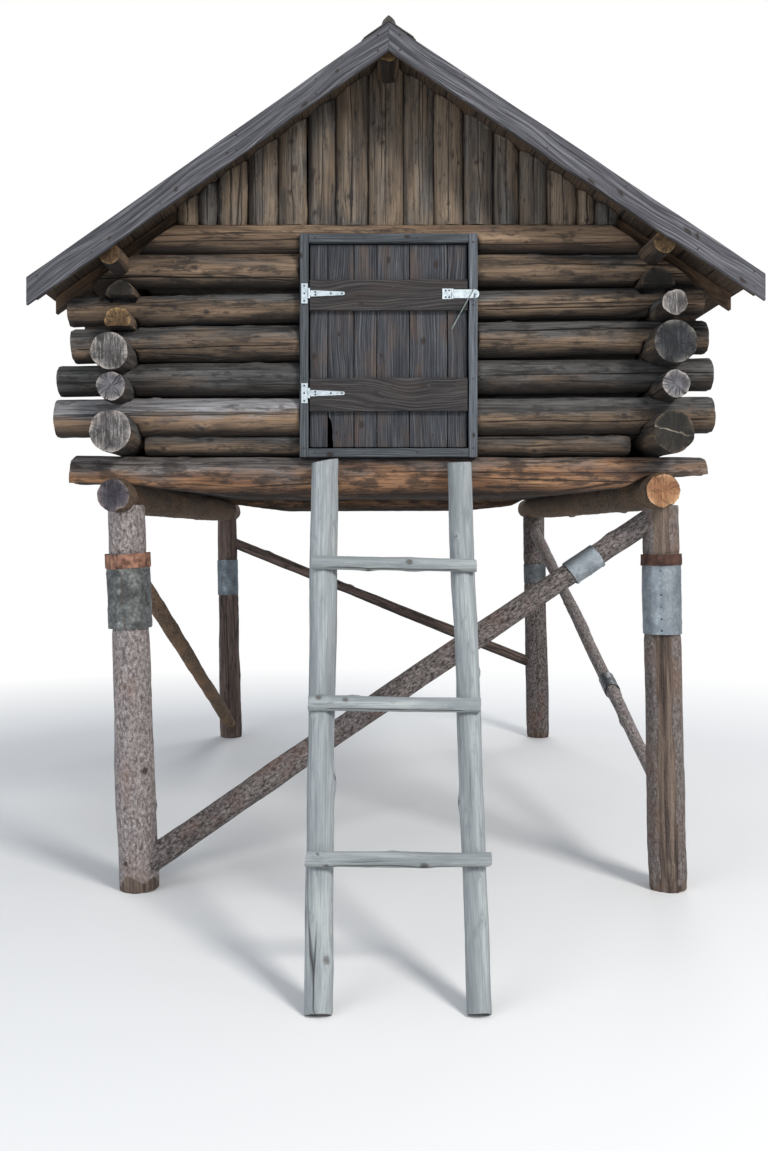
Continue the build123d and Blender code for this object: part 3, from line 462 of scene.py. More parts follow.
# The deck boards' dark browns are weathered wood, darkened further as painted shade under the
# eaves.
DECK = board("deck_board", "6c5741", "48382a", "291f18", 0.6, 1.6, 110.0, rained="85827f")
RAFTER = board("rafter_board", "6b513b", "463525", "241b15", 0.6, 1.0)
BARGE = board("barge_wood", "808085", "4a4a50", "242427", 0.8, 2.4, 120.0)
CASING = board("casing_wood", "6b7075", "454a4f", "23272b", 0.4, 2.6, 210.0)
CASING_LIGHT = board("casing_light", "7b8087", "545960", "2c3035", 0.4, 2.4, 210.0)
DOOR = board("door_wood", "636568", "30333a", "14161a", 0.5, 2.8, 230.0, "5a4536")
RAIL = board("rail_wood", "57524f", "2a282a", "131214", 1.2, 2.8, warm="382d27")
IRON = rusty("nail_iron", "4a4644", "27211f", 0.7)
SCREW = metal("screw_zinc", "54585a", "393c3e", "2c2622", 0.5, 0.6, 0.2)
HARDWARE = hardware("hardware_zinc", "d9e2e6", "a9b5bb", 0.42)
ROD = hardware("rod_steel", "95a09b", "65706c", 0.5)
FELT = felt("felt", "1d1c1b", "3f3c39", "77726c")


# Meshes
class Bundle:
    """Several meshes gathered into one piece."""

    def __init__(self):
        self.points, self.faces, self.kinds, self.marks = [], [], [], {}

    def take(self, points, faces, kinds, **marks):
        count = sum(map(len, self.points))
        self.points.append(points)
        self.faces += [tuple(corner + count for corner in face) for face in faces]
        self.kinds += kinds
        for mark, values in marks.items():
            self.marks.setdefault(mark, []).append(np.asarray(values, float))

    def build(self, name, materials, node=None, body="root", sharp=None):
        """A piece of the object that rides on a body and stands for a node of the frame."""
        mesh = bpy.data.meshes.new(name)
        points = np.concatenate(self.points)
        mesh.from_pydata([tuple(point) for point in points], [], self.faces)
        for material in materials:
            mesh.materials.append(material)
        mesh.polygons.foreach_set("material_index", self.kinds)
        mesh.polygons.foreach_set("use_smooth", [True] * len(mesh.polygons))
        for mark, parts in self.marks.items():
            values = np.concatenate(parts).astype(np.float32)
            kind, field = (("FLOAT", "value"), ("FLOAT_VECTOR", "vector"))[values.ndim - 1]
            mesh.attributes.new(mark, kind, "POINT").data.foreach_set(field, values.ravel())
        mesh.update()
        piece = bpy.data.objects.new(name, mesh)
        bpy.context.scene.collection.objects.link(piece)
        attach(piece, body)
        if sharp:
            mesh.set_sharp_from_angle(angle=math.radians(sharp))
        if node:
            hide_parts(node)


def tube_faces(rings, around):
    """Faces of an open tube, its points ring by ring."""
    faces = []
    for low, step in product(range(0, (rings - 1) * around, around), range(around)):
        after, high = (step + 1) % around, low + around
        faces.append((low + step, low + after, high + after, high + step))
    return faces


CAP_SHARES = (1.0, 0.985, 0.93, 0.8, 0.6, 0.4, 0.2)
CAP_RIMS = (1.0, 0.9, 0.5, 0.15, 0.0, 0.0, 0.0)
CHECK_HALF = 0.0042
# A log's uneven round, from slow bends to fine ridges: depths, and how often across and along
SWELLS = (
    (0.0035, (0.9, 0.9, 1.6)), (0.0022, (1.8, 1.8, 5.0)),
    (0.0008, (4.0, 4.0, 22.0)), (0.0010, (9.0, 9.0, 3.0)),
)
SUNK = 0.0012
TIP = 0.010
TORN_LEAST, TORN_MORE = 0.0012, 0.0055
KNOT_PLACES, KNOT_SIZES = (0.05, 0.95), (0.006, 0.015)
KNOT_RISE, KNOT_DENT = 0.006, 0.004


class Log:
    """A log that can be bent, knotted, checked and notched before it becomes a mesh."""

    def __init__(self, start, end, radii, seed, step, around, age=0.5, tone=1.0, rough=1.0,
                 bend=0.004, knots=5, checks=((0.0, 0.0, 1.0, 0.006),), ends=(PALE, PALE),
                 top_age=0.25):
        self.start, self.end = np.array(start, float), np.array(end, float)
        self.radii, self.seed, self.rough, self.ends = radii, seed, rough, ends
        self.age, self.tone, self.top_age = age, tone, top_age
        self.length = np.linalg.norm(self.end - self.start)
        self.run = (self.end - self.start) / self.length
        helper = (0.0, 0.0, 1.0) if abs(self.run[2]) < 0.9 else (0.0, 1.0, 0.0)
        self.side, self.up = square_to(self.run, helper)
        self.shares = np.linspace(0, 1, max(6, int(self.length / step) + 1))
        self.random = np.random.default_rng(int(seed * 1000) + 11)
        self.turns = self.columns(around, checks)
        self.shape(bend, knots, checks)

    def columns(self, around, checks):
        """Angles of the mesh's columns, three of them close together at each check."""
        turns = list(np.linspace(0, TURN, around, endpoint=False))
        self.narrow = CHECK_HALF / max(self.radii)
        for turn, *_ in checks:
            turn %= TURN
            near = min(range(len(turns)), key=lambda i: abs(turns[i] - turn))
            turns[near] = turn
            turns += [turn - self.narrow, turn + self.narrow]
        return np.array(sorted(turns))

    def shape(self, bend, knots, checks):
        """Swells the round form, with a torn tip, knots and long drying checks."""
        self.along = along = self.shares[:, None] * self.length
        wander = [waver_along(self.shares * k, self.seed) for k in (1.6, 9.0)]
        turn = self.turns[None, :] + (0.13 * wander[0] + 0.03 * wander[1])[:, None]
        radius = self.radii[0] + (self.radii[1] - self.radii[0]) * self.shares[:, None]
        circle = spread(np.cos(turn), np.sin(turn), along)
        swell = sum(
            depth * waver(circle * often, self.seed + count)
            for count, (depth, often) in enumerate(SWELLS)
        )
        swell = swell * self.rough - SUNK * self.rough
        tip = np.minimum(along, self.length - along)
        torn = waver(circle * (2.6, 2.6, 2.0), self.seed + 4)
        torn = TORN_LEAST + TORN_MORE * np.clip(torn + 0.1, 0, 1)
        swell = swell - torn * self.rough * (1 - ease(tip, 0.0, TIP))
        self.knot, self.check, self.bare = (np.zeros_like(swell) for _ in range(3))
        for _ in range(knots):
            place = self.random.uniform(*KNOT_PLACES) * self.length
            where = self.random.uniform(0, TURN)
            size = self.random.uniform(*KNOT_SIZES)
            gap = np.hypot(arc_from(turn, where) * radius, (along - place) * 0.8)
            swell = swell + KNOT_RISE * np.exp(-((gap / (2.1 * size)) ** 2)) * self.rough
            swell = swell - KNOT_DENT * np.exp(-((gap / (0.6 * size)) ** 2))
            self.knot = np.maximum(self.knot, np.exp(-((gap / size) ** 4)))
        for where, low, high, depth in checks:
            column = (np.abs(arc_from(self.turns, where)) < self.narrow * 0.5)[None, :]
            reach = ease(self.shares, low - 0.02, low + 0.03)
            reach = reach - ease(self.shares, high - 0.03, high + 0.02)
            jag = 0.75 + 0.25 * waver_along(self.shares * 30, self.seed + 5)
            swell = swell - column * (depth * reach * jag)[:, None]
            self.check = np.maximum(self.check, column * reach[:, None])
        drift = bend * spread(*(waver_along(self.shares * 1.7, self.seed + k) for k in (8, 9)))
        self.drift = drift * (np.sin(math.pi * self.shares) ** 0.5)[:, None]
        self.swell, self.radius, self.turn = swell, radius, turn

    def settle(self, low, high):
        """Holds the bark back where a sheet is wrapped round it, between two lengths."""
        inside = ease(self.along, low - 0.03, low) - ease(self.along, high, high + 0.03)
        self.swell = self.swell * (1 - inside) + np.minimum(self.swell, 0.0) * inside
        self.swell = self.swell - 0.002 * inside

    def strip(self, share, depth):
        """Takes the bark off where the share is 1."""
        self.bare = np.maximum(self.bare, share)
        self.swell = self.swell - depth * share

    def strip_side(self, middle_turn, half_turn):
        arc = np.abs(arc_from(self.turns, middle_turn))[None, :]
        wander = 0.12 * waver_along(self.along * 6, self.seed)
        self.strip(1 - ease(arc + wander, half_turn - 0.08, half_turn + 0.08), 4 * MM)

    def strip_foot(self, low, high):
        wander = 0.03 * waver(spread(np.cos(self.turn), np.sin(self.turn), 0.0) * 2)
        self.strip(1 - ease(self.along + wander, low, high), 3 * MM)

    def mesh(self, cuts):
        """Points, faces, material numbers and marks, after cuts that move points."""
        reach = self.radius + self.swell
        x, y = reach * np.cos(self.turn), reach * np.sin(self.turn)
        centre = self.start + self.along[..., None] * self.run
        centre = centre + self.drift[:, None, :1] * self.side + self.drift[:, None, 1:] * self.up
        body = centre + x[..., None] * self.side + y[..., None] * self.up
        local = spread(x, y, self.along)
        rings, around = x.shape
        for row, way in ((0, 1), (-1, -1)):
            slant = self.random.uniform(0.0, 0.008)
            lean = np.cos(self.turn[row] - self.random.uniform(0, TURN))
            body[row] = body[row] + way * slant * (1 + lean[:, None]) / 2 * self.run
        points, places = [body.reshape(-1, 3)], [local.reshape(-1, 3)]
        rims = [np.zeros(rings * around)]
        faces = tube_faces(rings, around)
        kinds = [0] * len(faces)
        cap = tube_faces(len(CAP_SHARES), around)
        inner = len(cap)
        cap += [(inner + i, inner + (i + 1) % around, inner + around) for i in range(around)]
        for high in (0, 1):
            edge, flat = body[-high], local[-high]
            heart, flat_heart = edge.mean(0), flat.mean(0)
            depth = (0, 0, self.seed + high * 3.3)
            first = sum(map(len, points))
            for level, (share, rim) in enumerate(zip(CAP_SHARES, CAP_RIMS)):
                place = flat_heart + (flat - flat_heart) * share
                push = 0.0016 * waver(place * (90, 25, 1), self.seed + 20 + high) * (level > 1)
                points.append(heart + (edge - heart) * share + push[:, None] * self.run)
                places.append(place * (1, 1, 0) + depth)
                rims.append(np.full(around, rim))
            points.append(heart[None])
            places.append((flat_heart * (1, 1, 0) + depth)[None])
            rims.append(np.zeros(1))
            shifted = [tuple(first + corner for corner in face) for face in cap]
            faces += shifted if high else [face[::-1] for face in shifted]
            kinds += [self.ends[high]] * len(cap)
        points = np.concatenate(points)
        for cut in cuts:
            points = cut(points)

        def padded(values):
            values = np.broadcast_to(values, (rings, around)).ravel()
            return np.concatenate([values, np.zeros(len(points) - len(values))])

        facing = padded(np.sin(self.turn) * self.up[2])
        marks = {
            "grain": np.concatenate(places) + np.array((0, 0, self.seed * 5.7)),
            "age": np.clip(self.age + self.top_age * facing, 0, 1),
            "rise": (1 + facing) / 2,
            "check": padded(self.check),
            "bare": padded(self.bare),
            "tone": np.full(len(points), self.tone),
            "knot": padded(self.knot),
            "rim": np.concatenate(rims),
        }
        return points, faces, kinds, marks


def add_log(bundle, log, cuts=(), side_kind=0):
    points, faces, kinds, marks = log.mesh(cuts)
    bundle.take(points, faces, [kind or side_kind for kind in kinds], **marks)


def log_piece(name, node, wood, slot, log, *cuts):
    """A piece made of one log."""
    rows = Bundle()
    add_log(rows, log, cuts)
    rows.build(name, [wood, *LOG_ENDS], node)


def level_log(node, axis, **how):
    """A log shaped round the one level solid of a node."""
    start, r0, end, r1 = line_of(solids(node)[0], axis)
    return Log(start, end, (r0, r1), **how)


# Cuts that move the points of a mesh
def seat(axis, centre, radius, height, above):
    """The lap notch for a log that crosses above or below, cut to where the two bear."""

    def cut(points):
        inside = np.hypot(points[:, axis] - centre[axis], points[:, 2] - centre[2]) < radius
        inside &= points[:, 2] > height if above else points[:, 2] < height
        points[inside, 2] = height
        return points

    return cut


def flattened(height, above):
    """A level face, hewn or split along a log's top or underside."""
    limit = np.minimum if above else np.maximum

    def cut(points):
        points[:, 2] = limit(points[:, 2], height)
        return points

    return cut


# The two roof slopes, read from the deck
RIDGE_X, _, RIDGE_TOP = box("roof_deck_left")[1]
DECK_THICKNESS = 0.025
RAFTER_DEPTH = 0.064
SLOPES = {}
for side in SIDES:
    points = solids(f"roof_deck_{side}")[0]
    outer = points[np.abs(np.abs(points[:, 0]) - np.abs(points[:, 0]).max()) < MM]
    SLOPES[side] = math.atan2(RIDGE_TOP - outer[:, 2].max(), abs(outer[0, 0] - RIDGE_X))


def roof_height(side, x, depth=0.0):
    slope = SLOPES[side]
    return RIDGE_TOP - np.abs(x - RIDGE_X) * math.tan(slope) - depth / math.cos(slope)


def under_rafters(points):
    """Cuts the ends of level logs to the undersides of the rafters."""
    for side, way in SIDES.items():
        mine = (points[:, 0] - RIDGE_X) * way > 0
        drop = (DECK_THICKNESS + RAFTER_DEPTH) / math.cos(SLOPES[side])
        limit = np.maximum((RIDGE_TOP - drop - points[:, 2]) / math.tan(SLOPES[side]), 0.0)
        over = mine & (np.abs(points[:, 0] - RIDGE_X) > limit)
        points[over, 0] = RIDGE_X + way * limit[over]
    return points


def under_deck(points):
    """Cuts the tops of upright slabs to the underside of the deck."""
    for side, way in SIDES.items():
        mine = (points[:, 0] - RIDGE_X) * way > 0
        top = roof_height(side, points[:, 0], DECK_THICKNESS + 2 * MM)
        points[mine, 2] = np.minimum(points[mine, 2], top[mine])
    return points


# Lines of the wall logs, read from the solids
side_lines = {side: [
    (*line_of(points, 1), points) for points in solids(f"{side}_wall_logs", 2)
] for side in SIDES}
front_lefts, front_rights = solids("front_logs_left", 2), solids("front_logs_right", 2)
door_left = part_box("casing_jamb_left")[0][0]
door_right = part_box("casing_jamb_right")[1][0]
WALL_Y = {
    FRONT: middle(front_lefts[0])[1],
    BACK: middle(solids("back_wall_logs", 2)[0])[1],
}
cross_lines = []
for left_points, right_points in zip(front_lefts, front_rights):
    left_centre, left_radius = end_circle(left_points, 0, True)
    right_centre, right_radius = end_circle(right_points, 0, False)
    ends = np.array((left_points[:, 0].min(), right_points[:, 0].max()))
    shares = (ends - door_left) / (door_right - door_left)
    heights = left_centre[2] + (right_centre[2] - left_centre[2]) * shares
    cross_lines.append((ends, heights, left_radius + (right_radius - left_radius) * shares))


def at_place(line, x):
    """Height of the axis and radius of a front or back log at a place across."""
    ends, heights, radii = line
    share = (x - ends[0]) / (ends[1] - ends[0])
    return [pair[0] + (pair[1] - pair[0]) * share for pair in (heights, radii)]


def lap(axis, centre, radius, height, mine, above):
    """The seat for a crossing log, midway between its surface and this log's."""
    way = 1 if above else -1
    return seat(axis, centre, radius, (height + way * mine + centre[2] - way * radius) / 2, above)


def side_seats(side, course):
    """The lap notches of a side log, where it crosses the front and back logs."""
    start, r0, end, r1, _ = side_lines[side][course]
    cuts = []
    for wall, mine in ((FRONT, r0), (BACK, r1)):
        for other, above in ((course, False), (course + 1, True)):
            if other or above:
                height, radius = at_place(cross_lines[other], start[0])
                centre = np.array((0, WALL_Y[wall], height))
                cuts.append(lap(1, centre, radius, start[2], mine, above))
    return cuts


def cross_seats(course, wall):
    """The lap notches of a front or back log, where it crosses the side logs."""
    cuts = []
    for rows in side_lines.values():
        for other, above in ((course - 1, False), (course, True)):
            if 0 <= other < len(rows):
                pick = 0 if wall == FRONT else 2
                centre, radius = rows[other][pick : pick + 2]
                height, mine = at_place(cross_lines[course], centre[0])
                cuts.append(lap(0, centre, radius, height, mine, above))
    return cuts


# The inner halves of the wall logs grow to close the gaps between them, from and to depths past
# the axis, and up to distances from the middle or the corners
INNER = (0.022, 0.052)
CROSS_GROWTH, SIDE_GROWTH = 0.046, 0.060
CROSS_ENDS, SIDE_ENDS = (1.08, 1.14), (0.08, 0.14)
STEEPNESS = 1.7


def packed(line, wall):
    """Closes the gaps on the inner half of a front or back log."""
    way = 1 if wall == FRONT else -1

    def cut(points):
        height, radius = at_place(line, points[:, 0])
        share = ease((points[:, 1] - WALL_Y[wall]) * way, *INNER)
        share = share * (1 - ease(np.abs(points[:, 0]), *CROSS_ENDS))
        tall = np.clip(STEEPNESS * (points[:, 2] - height) / radius, -1, 1)
        points[:, 2] += CROSS_GROWTH * share * tall
        return points

    return cut


def packed_side(start, r0, end, r1, way, lowest):
    """Closes the gaps on the inner half of a side log."""

    def cut(points):
        part = (points[:, 1] - start[1]) / (end[1] - start[1])
        middle_x, height = (start[k] + (end[k] - start[k]) * part for k in (0, 2))
        share = ease((middle_x - points[:, 0]) * way, *INNER)
        near, far = SIDE_ENDS
        share = share * ease(points[:, 1], WALL_Y[FRONT] + near, WALL_Y[FRONT] + far)
        share = share * (1 - ease(points[:, 1], WALL_Y[BACK] - far, WALL_Y[BACK] - near))
        radius = r0 + (r1 - r0) * part
        tall = np.clip(STEEPNESS * (points[:, 2] - height) / radius, -1, 1)
        points[:, 2] += SIDE_GROWTH * share * np.maximum(tall, 0 if lowest else -1)
        return points

    return cut


# Side walls: end kind, age, tone and up-facing age of each log from the floor
SIDE_LOOKS = {
    "left": (
        (PALE, 0.55, 0.95, 0.3), (STAR, 0.6, 0.95, 0.3), (PALE, 0.55, 1.0, 0.3),
        (BROWN, 0.25, 0.9, 0.2), (DARK, 0.2, 0.75, 0.2),
    ),
    "right": (
        (SPLIT, 0.3, 0.75, 0.3), (STAR, 0.5, 0.85, 0.3), (BLACK, 0.45, 0.75, 0.3),
        (PALE, 0.5, 0.8, 0.3), (DARK, 0.2, 0.7, 0.2),
    ),
}
for side, way in SIDES.items():
    rows = Bundle()
    for course, (start, r0, end, r1, points) in enumerate(side_lines[side]):
        kind, age, tone, top_age = SIDE_LOOKS[side][course]
        cuts = [packed_side(start, r0, end, r1, way, course == 0)] + side_seats(side, course)
        underside = points[np.abs(points[:, 1] - start[1]) < MM][:, 2].min()
        if underside > start[2] - r0 + 5 * MM:
            cuts.append(flattened(underside, False))
        add_log(rows, Log(
            start, end, (r0, r1), seed=1.1 + course + 10 * (side == "right"), step=0.034,
            around=44, age=age, tone=tone, ends=(kind, PALE), top_age=top_age, bend=0.003,
            checks=((0.4 + course, 0.0, 0.6, 0.007), (2.6 + course, 0.3, 1.0, 0.006)),
        ), cuts)
    rows.build(f"{side}_wall", [GREY_LOG, *LOG_ENDS], f"{side}_wall_logs")

# Front and back walls from the floor: age, tone, up-facing age, turns of the long checks in the
# log left of the door and in the others
CROSS_LOOKS = (
    (0.35, 0.80, 0.3, (), ()),
    (0.55, 1.0, 0.75, (3.02,), (3.5,)),
    (0.80, 0.80, 0.35, (2.62,), (3.2,)),
    (0.40, 0.95, 0.5, (3.42,), (2.7,)),
    (0.32, 0.95, 0.55, (), (3.6,)),
    (0.22, 1.05, 0.3, (3.75,), (2.9,)),
)
SILVER_COURSE = 1
FIT = 0.3 * MM
# Each wall's growth over the solids, roughness, knots and length between rings
WALL_HOW = {FRONT: (0.002, 1.4, 6, 0.013), BACK: (0.003, 0.8, 10, 0.026)}
for name, wall, node, from_x, to_x in (
    ("front_left_wall", FRONT, "front_logs_left", None, door_left),
    ("front_right_wall", FRONT, "front_logs_right", door_right, None),
    ("back_wall", BACK, "back_wall_logs", None, None),
):
    rows = Bundle()
    snug, rough, knots, step = WALL_HOW[wall]
    for course, line in enumerate(cross_lines):
        x0 = line[0][0] if from_x is None else from_x + FIT
        x1 = line[0][1] if to_x is None else to_x - FIT
        (z0, r0), (z1, r1) = at_place(line, x0), at_place(line, x1)
        age, tone, top_age, left_turns, turns = CROSS_LOOKS[course]
        turns = left_turns if name == "front_left_wall" else turns
        log = Log(
            (x0, WALL_Y[wall], z0), (x1, WALL_Y[wall], z1), (r0 + snug, r1 + snug),
            seed=31.3 + course + 7 * len(rows.points) + 3 * (x0 > 0), step=step, around=48,
            age=age, tone=tone, top_age=top_age, knots=knots, bend=0.003, rough=rough,
            checks=[(turn, 0.03, 0.97, 0.013) for turn in turns] + [(0.9, 0.0, 1.0, 0.008)],
        )
        cuts = [packed(line, wall)] + (cross_seats(course, wall) if course else [])
        silver = course == SILVER_COURSE and name == "front_left_wall"
        add_log(rows, log, cuts + [under_rafters], len(LOG_ENDS) + 1 if silver else 0)
    rows.build(name, [GREY_LOG, *LOG_ENDS, SILVER_LOG], node)

# The flat-topped log under each gable
casing_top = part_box("casing_head")[1][2] + FIT


def over_casing(points):
    """Seats the front gable log on the door casing."""
    inside = (points[:, 0] > door_left) & (points[:, 0] < door_right)
    inside &= points[:, 2] < casing_top
    points[inside, 2] = casing_top
    return points


for wall in WALLS:
    node = f"{wall}_log_top"
    points = solids(node)[0]
    radius = (points[:, 1].max() - points[:, 1].min()) / 2
    height = points[:, 2].min() + radius
    log = Log(
        (points[:, 0].min(), WALL_Y[wall], height), (points[:, 0].max(), WALL_Y[wall], height),
        (radius, radius), seed=61.7 + (wall == BACK), around=48, age=0.2, tone=1.0,
        step=0.014 if wall == FRONT else 0.026, knots=9, checks=((5.2, 0.1, 0.9, 0.006),),
    )
    cuts = [flattened(points[:, 2].max(), True), under_rafters]
    cuts += [over_casing] if wall == FRONT else []
    log_piece(f"{wall}_gable_log", node, TAN_LOG, "weathered_log", log, *cuts)

# Eave plates, bearers, sills and the ridge pole
for side, tone in (("left", 0.9), ("right", 0.75)):
    log = level_log(f"eave_plate_{side}", 1, seed=71.2 + tone, step=0.034, around=36, age=0.2,
                    tone=tone, ends=(BROWN, PALE), knots=9)
    log_piece(f"{side}_eave_plate", f"eave_plate_{side}", TAN_LOG, "weathered_log", log)

for side, kind in (("left", DULL), ("right", FRESH)):
    start, r0, end, r1 = line_of(solids(f"bearer_{side}")[0], 1)
    log = Log(start, end, (r0, r1), seed=81.4 + r0 * 9, step=0.026, around=48, age=0.1, tone=0.9,
              ends=(kind, PALE), knots=8, checks=(), rough=1.6)
    log_piece(f"{side}_bearer", f"bearer_{side}", DARK_BARK, "bearer_log", log)

# Hewn undersides of the sills: distances from the left and right end, and rises
HEWN = {
    -1: ((0.0, 0.31, 0.78), (0.070, 0.060, 0.0)),
    1: ((0.0, 0.275, 0.37, 0.84), (0.108, 0.100, 0.050, 0.0)),
}
# The back sill's tone of 0.6 is painted shade.
for wall, tone, step in ((FRONT, 1.0, 0.014), (BACK, 0.6, 0.026)):
    start, r0, end, r1 = line_of(solids(f"sill_{wall}")[0], 0)
    underside = start[2] - max(r0, r1)

    def hewn(points):
        """Both ends hewn off underneath."""
        for tip, way in ((start[0], -1), (end[0], 1)):
            inwards = (tip - points[:, 0]) * way
            low = underside + np.interp(inwards, *HEWN[way])
            chips = 0.004 * waver(points * (14, 40, 0), 4.0)
            near = inwards < HEWN[way][0][-1]
            points[near, 2] = np.maximum(points[near, 2], (low + chips)[near])
        return points

    log = Log(start, end, (r0, r1), seed=91.9 + (wall == BACK), around=52, age=0.35, step=step,
              tone=tone, ends=(FRESH, FRESH), knots=12, rough=1.6, top_age=0.35,
              checks=((2.5, 0.05, 0.5, 0.006), (2.9, 0.45, 0.95, 0.006)))
    log_piece(f"{wall}_sill", f"sill_{wall}", SILL_LOG, "bark_pole", log, hewn)

log = level_log("ridge_pole", 1, seed=97.3, step=0.03, around=32, age=0.15, tone=0.9,
                ends=(BROWN, BROWN), knots=8)
log_piece("ridge_beam", "ridge_pole", TAN_LOG, "weathered_log", log)

# Split floor poles, flat side up
rows = Bundle()
for place, points in enumerate(solids("floor_poles", 1)):
    low, high = points.min(0), points.max(0)
    radius = (high[1] - low[1]) / 2
    y, level = middle(points)[1], low[2] + radius
    log = Log((low[0], y, level), (high[0], y, level), (radius, radius), seed=110.3 + place,
              step=0.09, around=18, age=0.3, tone=0.85, knots=3, checks=())
    add_log(rows, log, [flattened(high[2], True)])
rows.build("pole_floor", [TAN_LOG, *LOG_ENDS], "floor_poles")

# Posts: places across of the foot and the top, radii there, collar from and to, bark, tone
POST_HEIGHT = 1.720
POSTS = {
    "front_left": (-1.140, -1.202, 0.090, 0.082, 0.6820, 0.8733, PALE_BARK, 1.0),
    "front_right": (1.230, 1.199, 0.086, 0.080, 0.6663, 0.8721, ROUGH_BARK, 0.92),
    "back_left": (-1.156, -1.190, 0.084, 0.074, 0.6436, 0.8012, RED_LOG, 0.9),
    "back_right": (1.238, 1.205, 0.086, 0.082, 0.6977, 0.7831, FLAKY_BARK, 0.8),
}
on_ground = flattened(0.0, False)
poles = {}
for name, (foot_x, top_x, r0, r1, low, high, wood, tone) in POSTS.items():
    wall = name.split("_")[0]
    foot = np.array((foot_x, WALL_Y[wall], 0.0))
    top = np.array((top_x, WALL_Y[wall], POST_HEIGHT))
    poles[name] = foot, top
    log = Log(foot, top, (r0, r1), seed=131.0 + len(poles), around=64, age=0.0, tone=tone,
              step=0.011 if wall == FRONT else 0.02, rough=1.5, bend=0.002,
              checks=((4.6, 0.1, 0.75, 0.012),) if wall == BACK else ())
    if name == "front_right":
        log.strip_side(4.55, 0.5)
    log.strip_foot(0.02, 0.09)
    log.settle(low * POST_HEIGHT, high * POST_HEIGHT)
    log_piece(f"{name}_post", f"post_{name}", wood, "bark_pole", log, on_ground)

# Braces between two posts: shares of the posts' heights, end radii, bark, tone
BRACES = {
    "front": ("front_left", 0.0552, "front_right", 0.9826, 0.060, 0.049, FLAKY_BARK, 1.0),
    "back": ("back_right", 0.3238, "back_left", 0.8895, 0.042, 0.038, RED_LOG, 0.9),
    "left": ("back_left", 0.0523, "front_left", 0.8576, 0.047, 0.041, DARK_BARK, 1.3),
    "right": ("front_right", 0.2297, "back_right", 0.9360, 0.031, 0.042, PALE_BARK, 1.0),
}
for name, (low, low_share, high, high_share, r0, r1, wood, tone) in BRACES.items():
    poles[name] = ends = tuple(
        poles[post][0] + (poles[post][1] - poles[post][0]) * share
        for post, share in ((low, low_share), (high, high_share))
    )
    log = Log(*ends, (r0, r1), seed=151.0 + r0 * 100, around=44, age=0.0, tone=tone,
              step=0.013 if name == "front" else 0.02, knots=6, checks=(), rough=1.4, bend=0.0)
    log_piece(f"{name}_brace", f"brace_{name}", wood, "bark_pole", log)

# Gable walls of upright slabs, their flat sides inwards
SLAB_GROWTH = 2.5 * MM
SLAB_RISE = 0.03
for wall, way, turn, step in ((FRONT, -1, 1.5, 0.018), (BACK, 1, 0.5, 0.03)):
    rows = Bundle()
    for place, points in enumerate(solids(f"gable_slabs_{wall}", 0)):
        low, high = points.min(0), points.max(0)
        wide = (high[0] - low[0]) / 2 + SLAB_GROWTH
        flat = high[1] if wall == FRONT else low[1]

        def squash(points, flat=flat, share=(high[1] - low[1]) / wide, way=way):
            outward = (points[:, 1] - flat) * share * way
            points[:, 1] = flat + way * np.maximum(outward, 0)
            return points

        random = np.random.default_rng(200 + place + 50 * (wall == BACK))
        centre = (low[0] + high[0]) / 2
        add_log(rows, Log(
            (centre, flat, low[2]), (centre, flat, high[2] + SLAB_RISE), (wide, wide),
            seed=201.3 + place + 50 * (wall == BACK), around=36, step=step,
            age=random.uniform(0.25, 0.6), tone=random.uniform(0.75, 1.05), ends=(DARK, DARK),
            knots=7, bend=0.0, checks=((turn * math.pi, 0, 0.9, 0.004),),
        ), [squash, under_deck])
    rows.build(f"{wall}_gable", [SLAB, *LOG_ENDS], f"gable_slabs_{wall}")


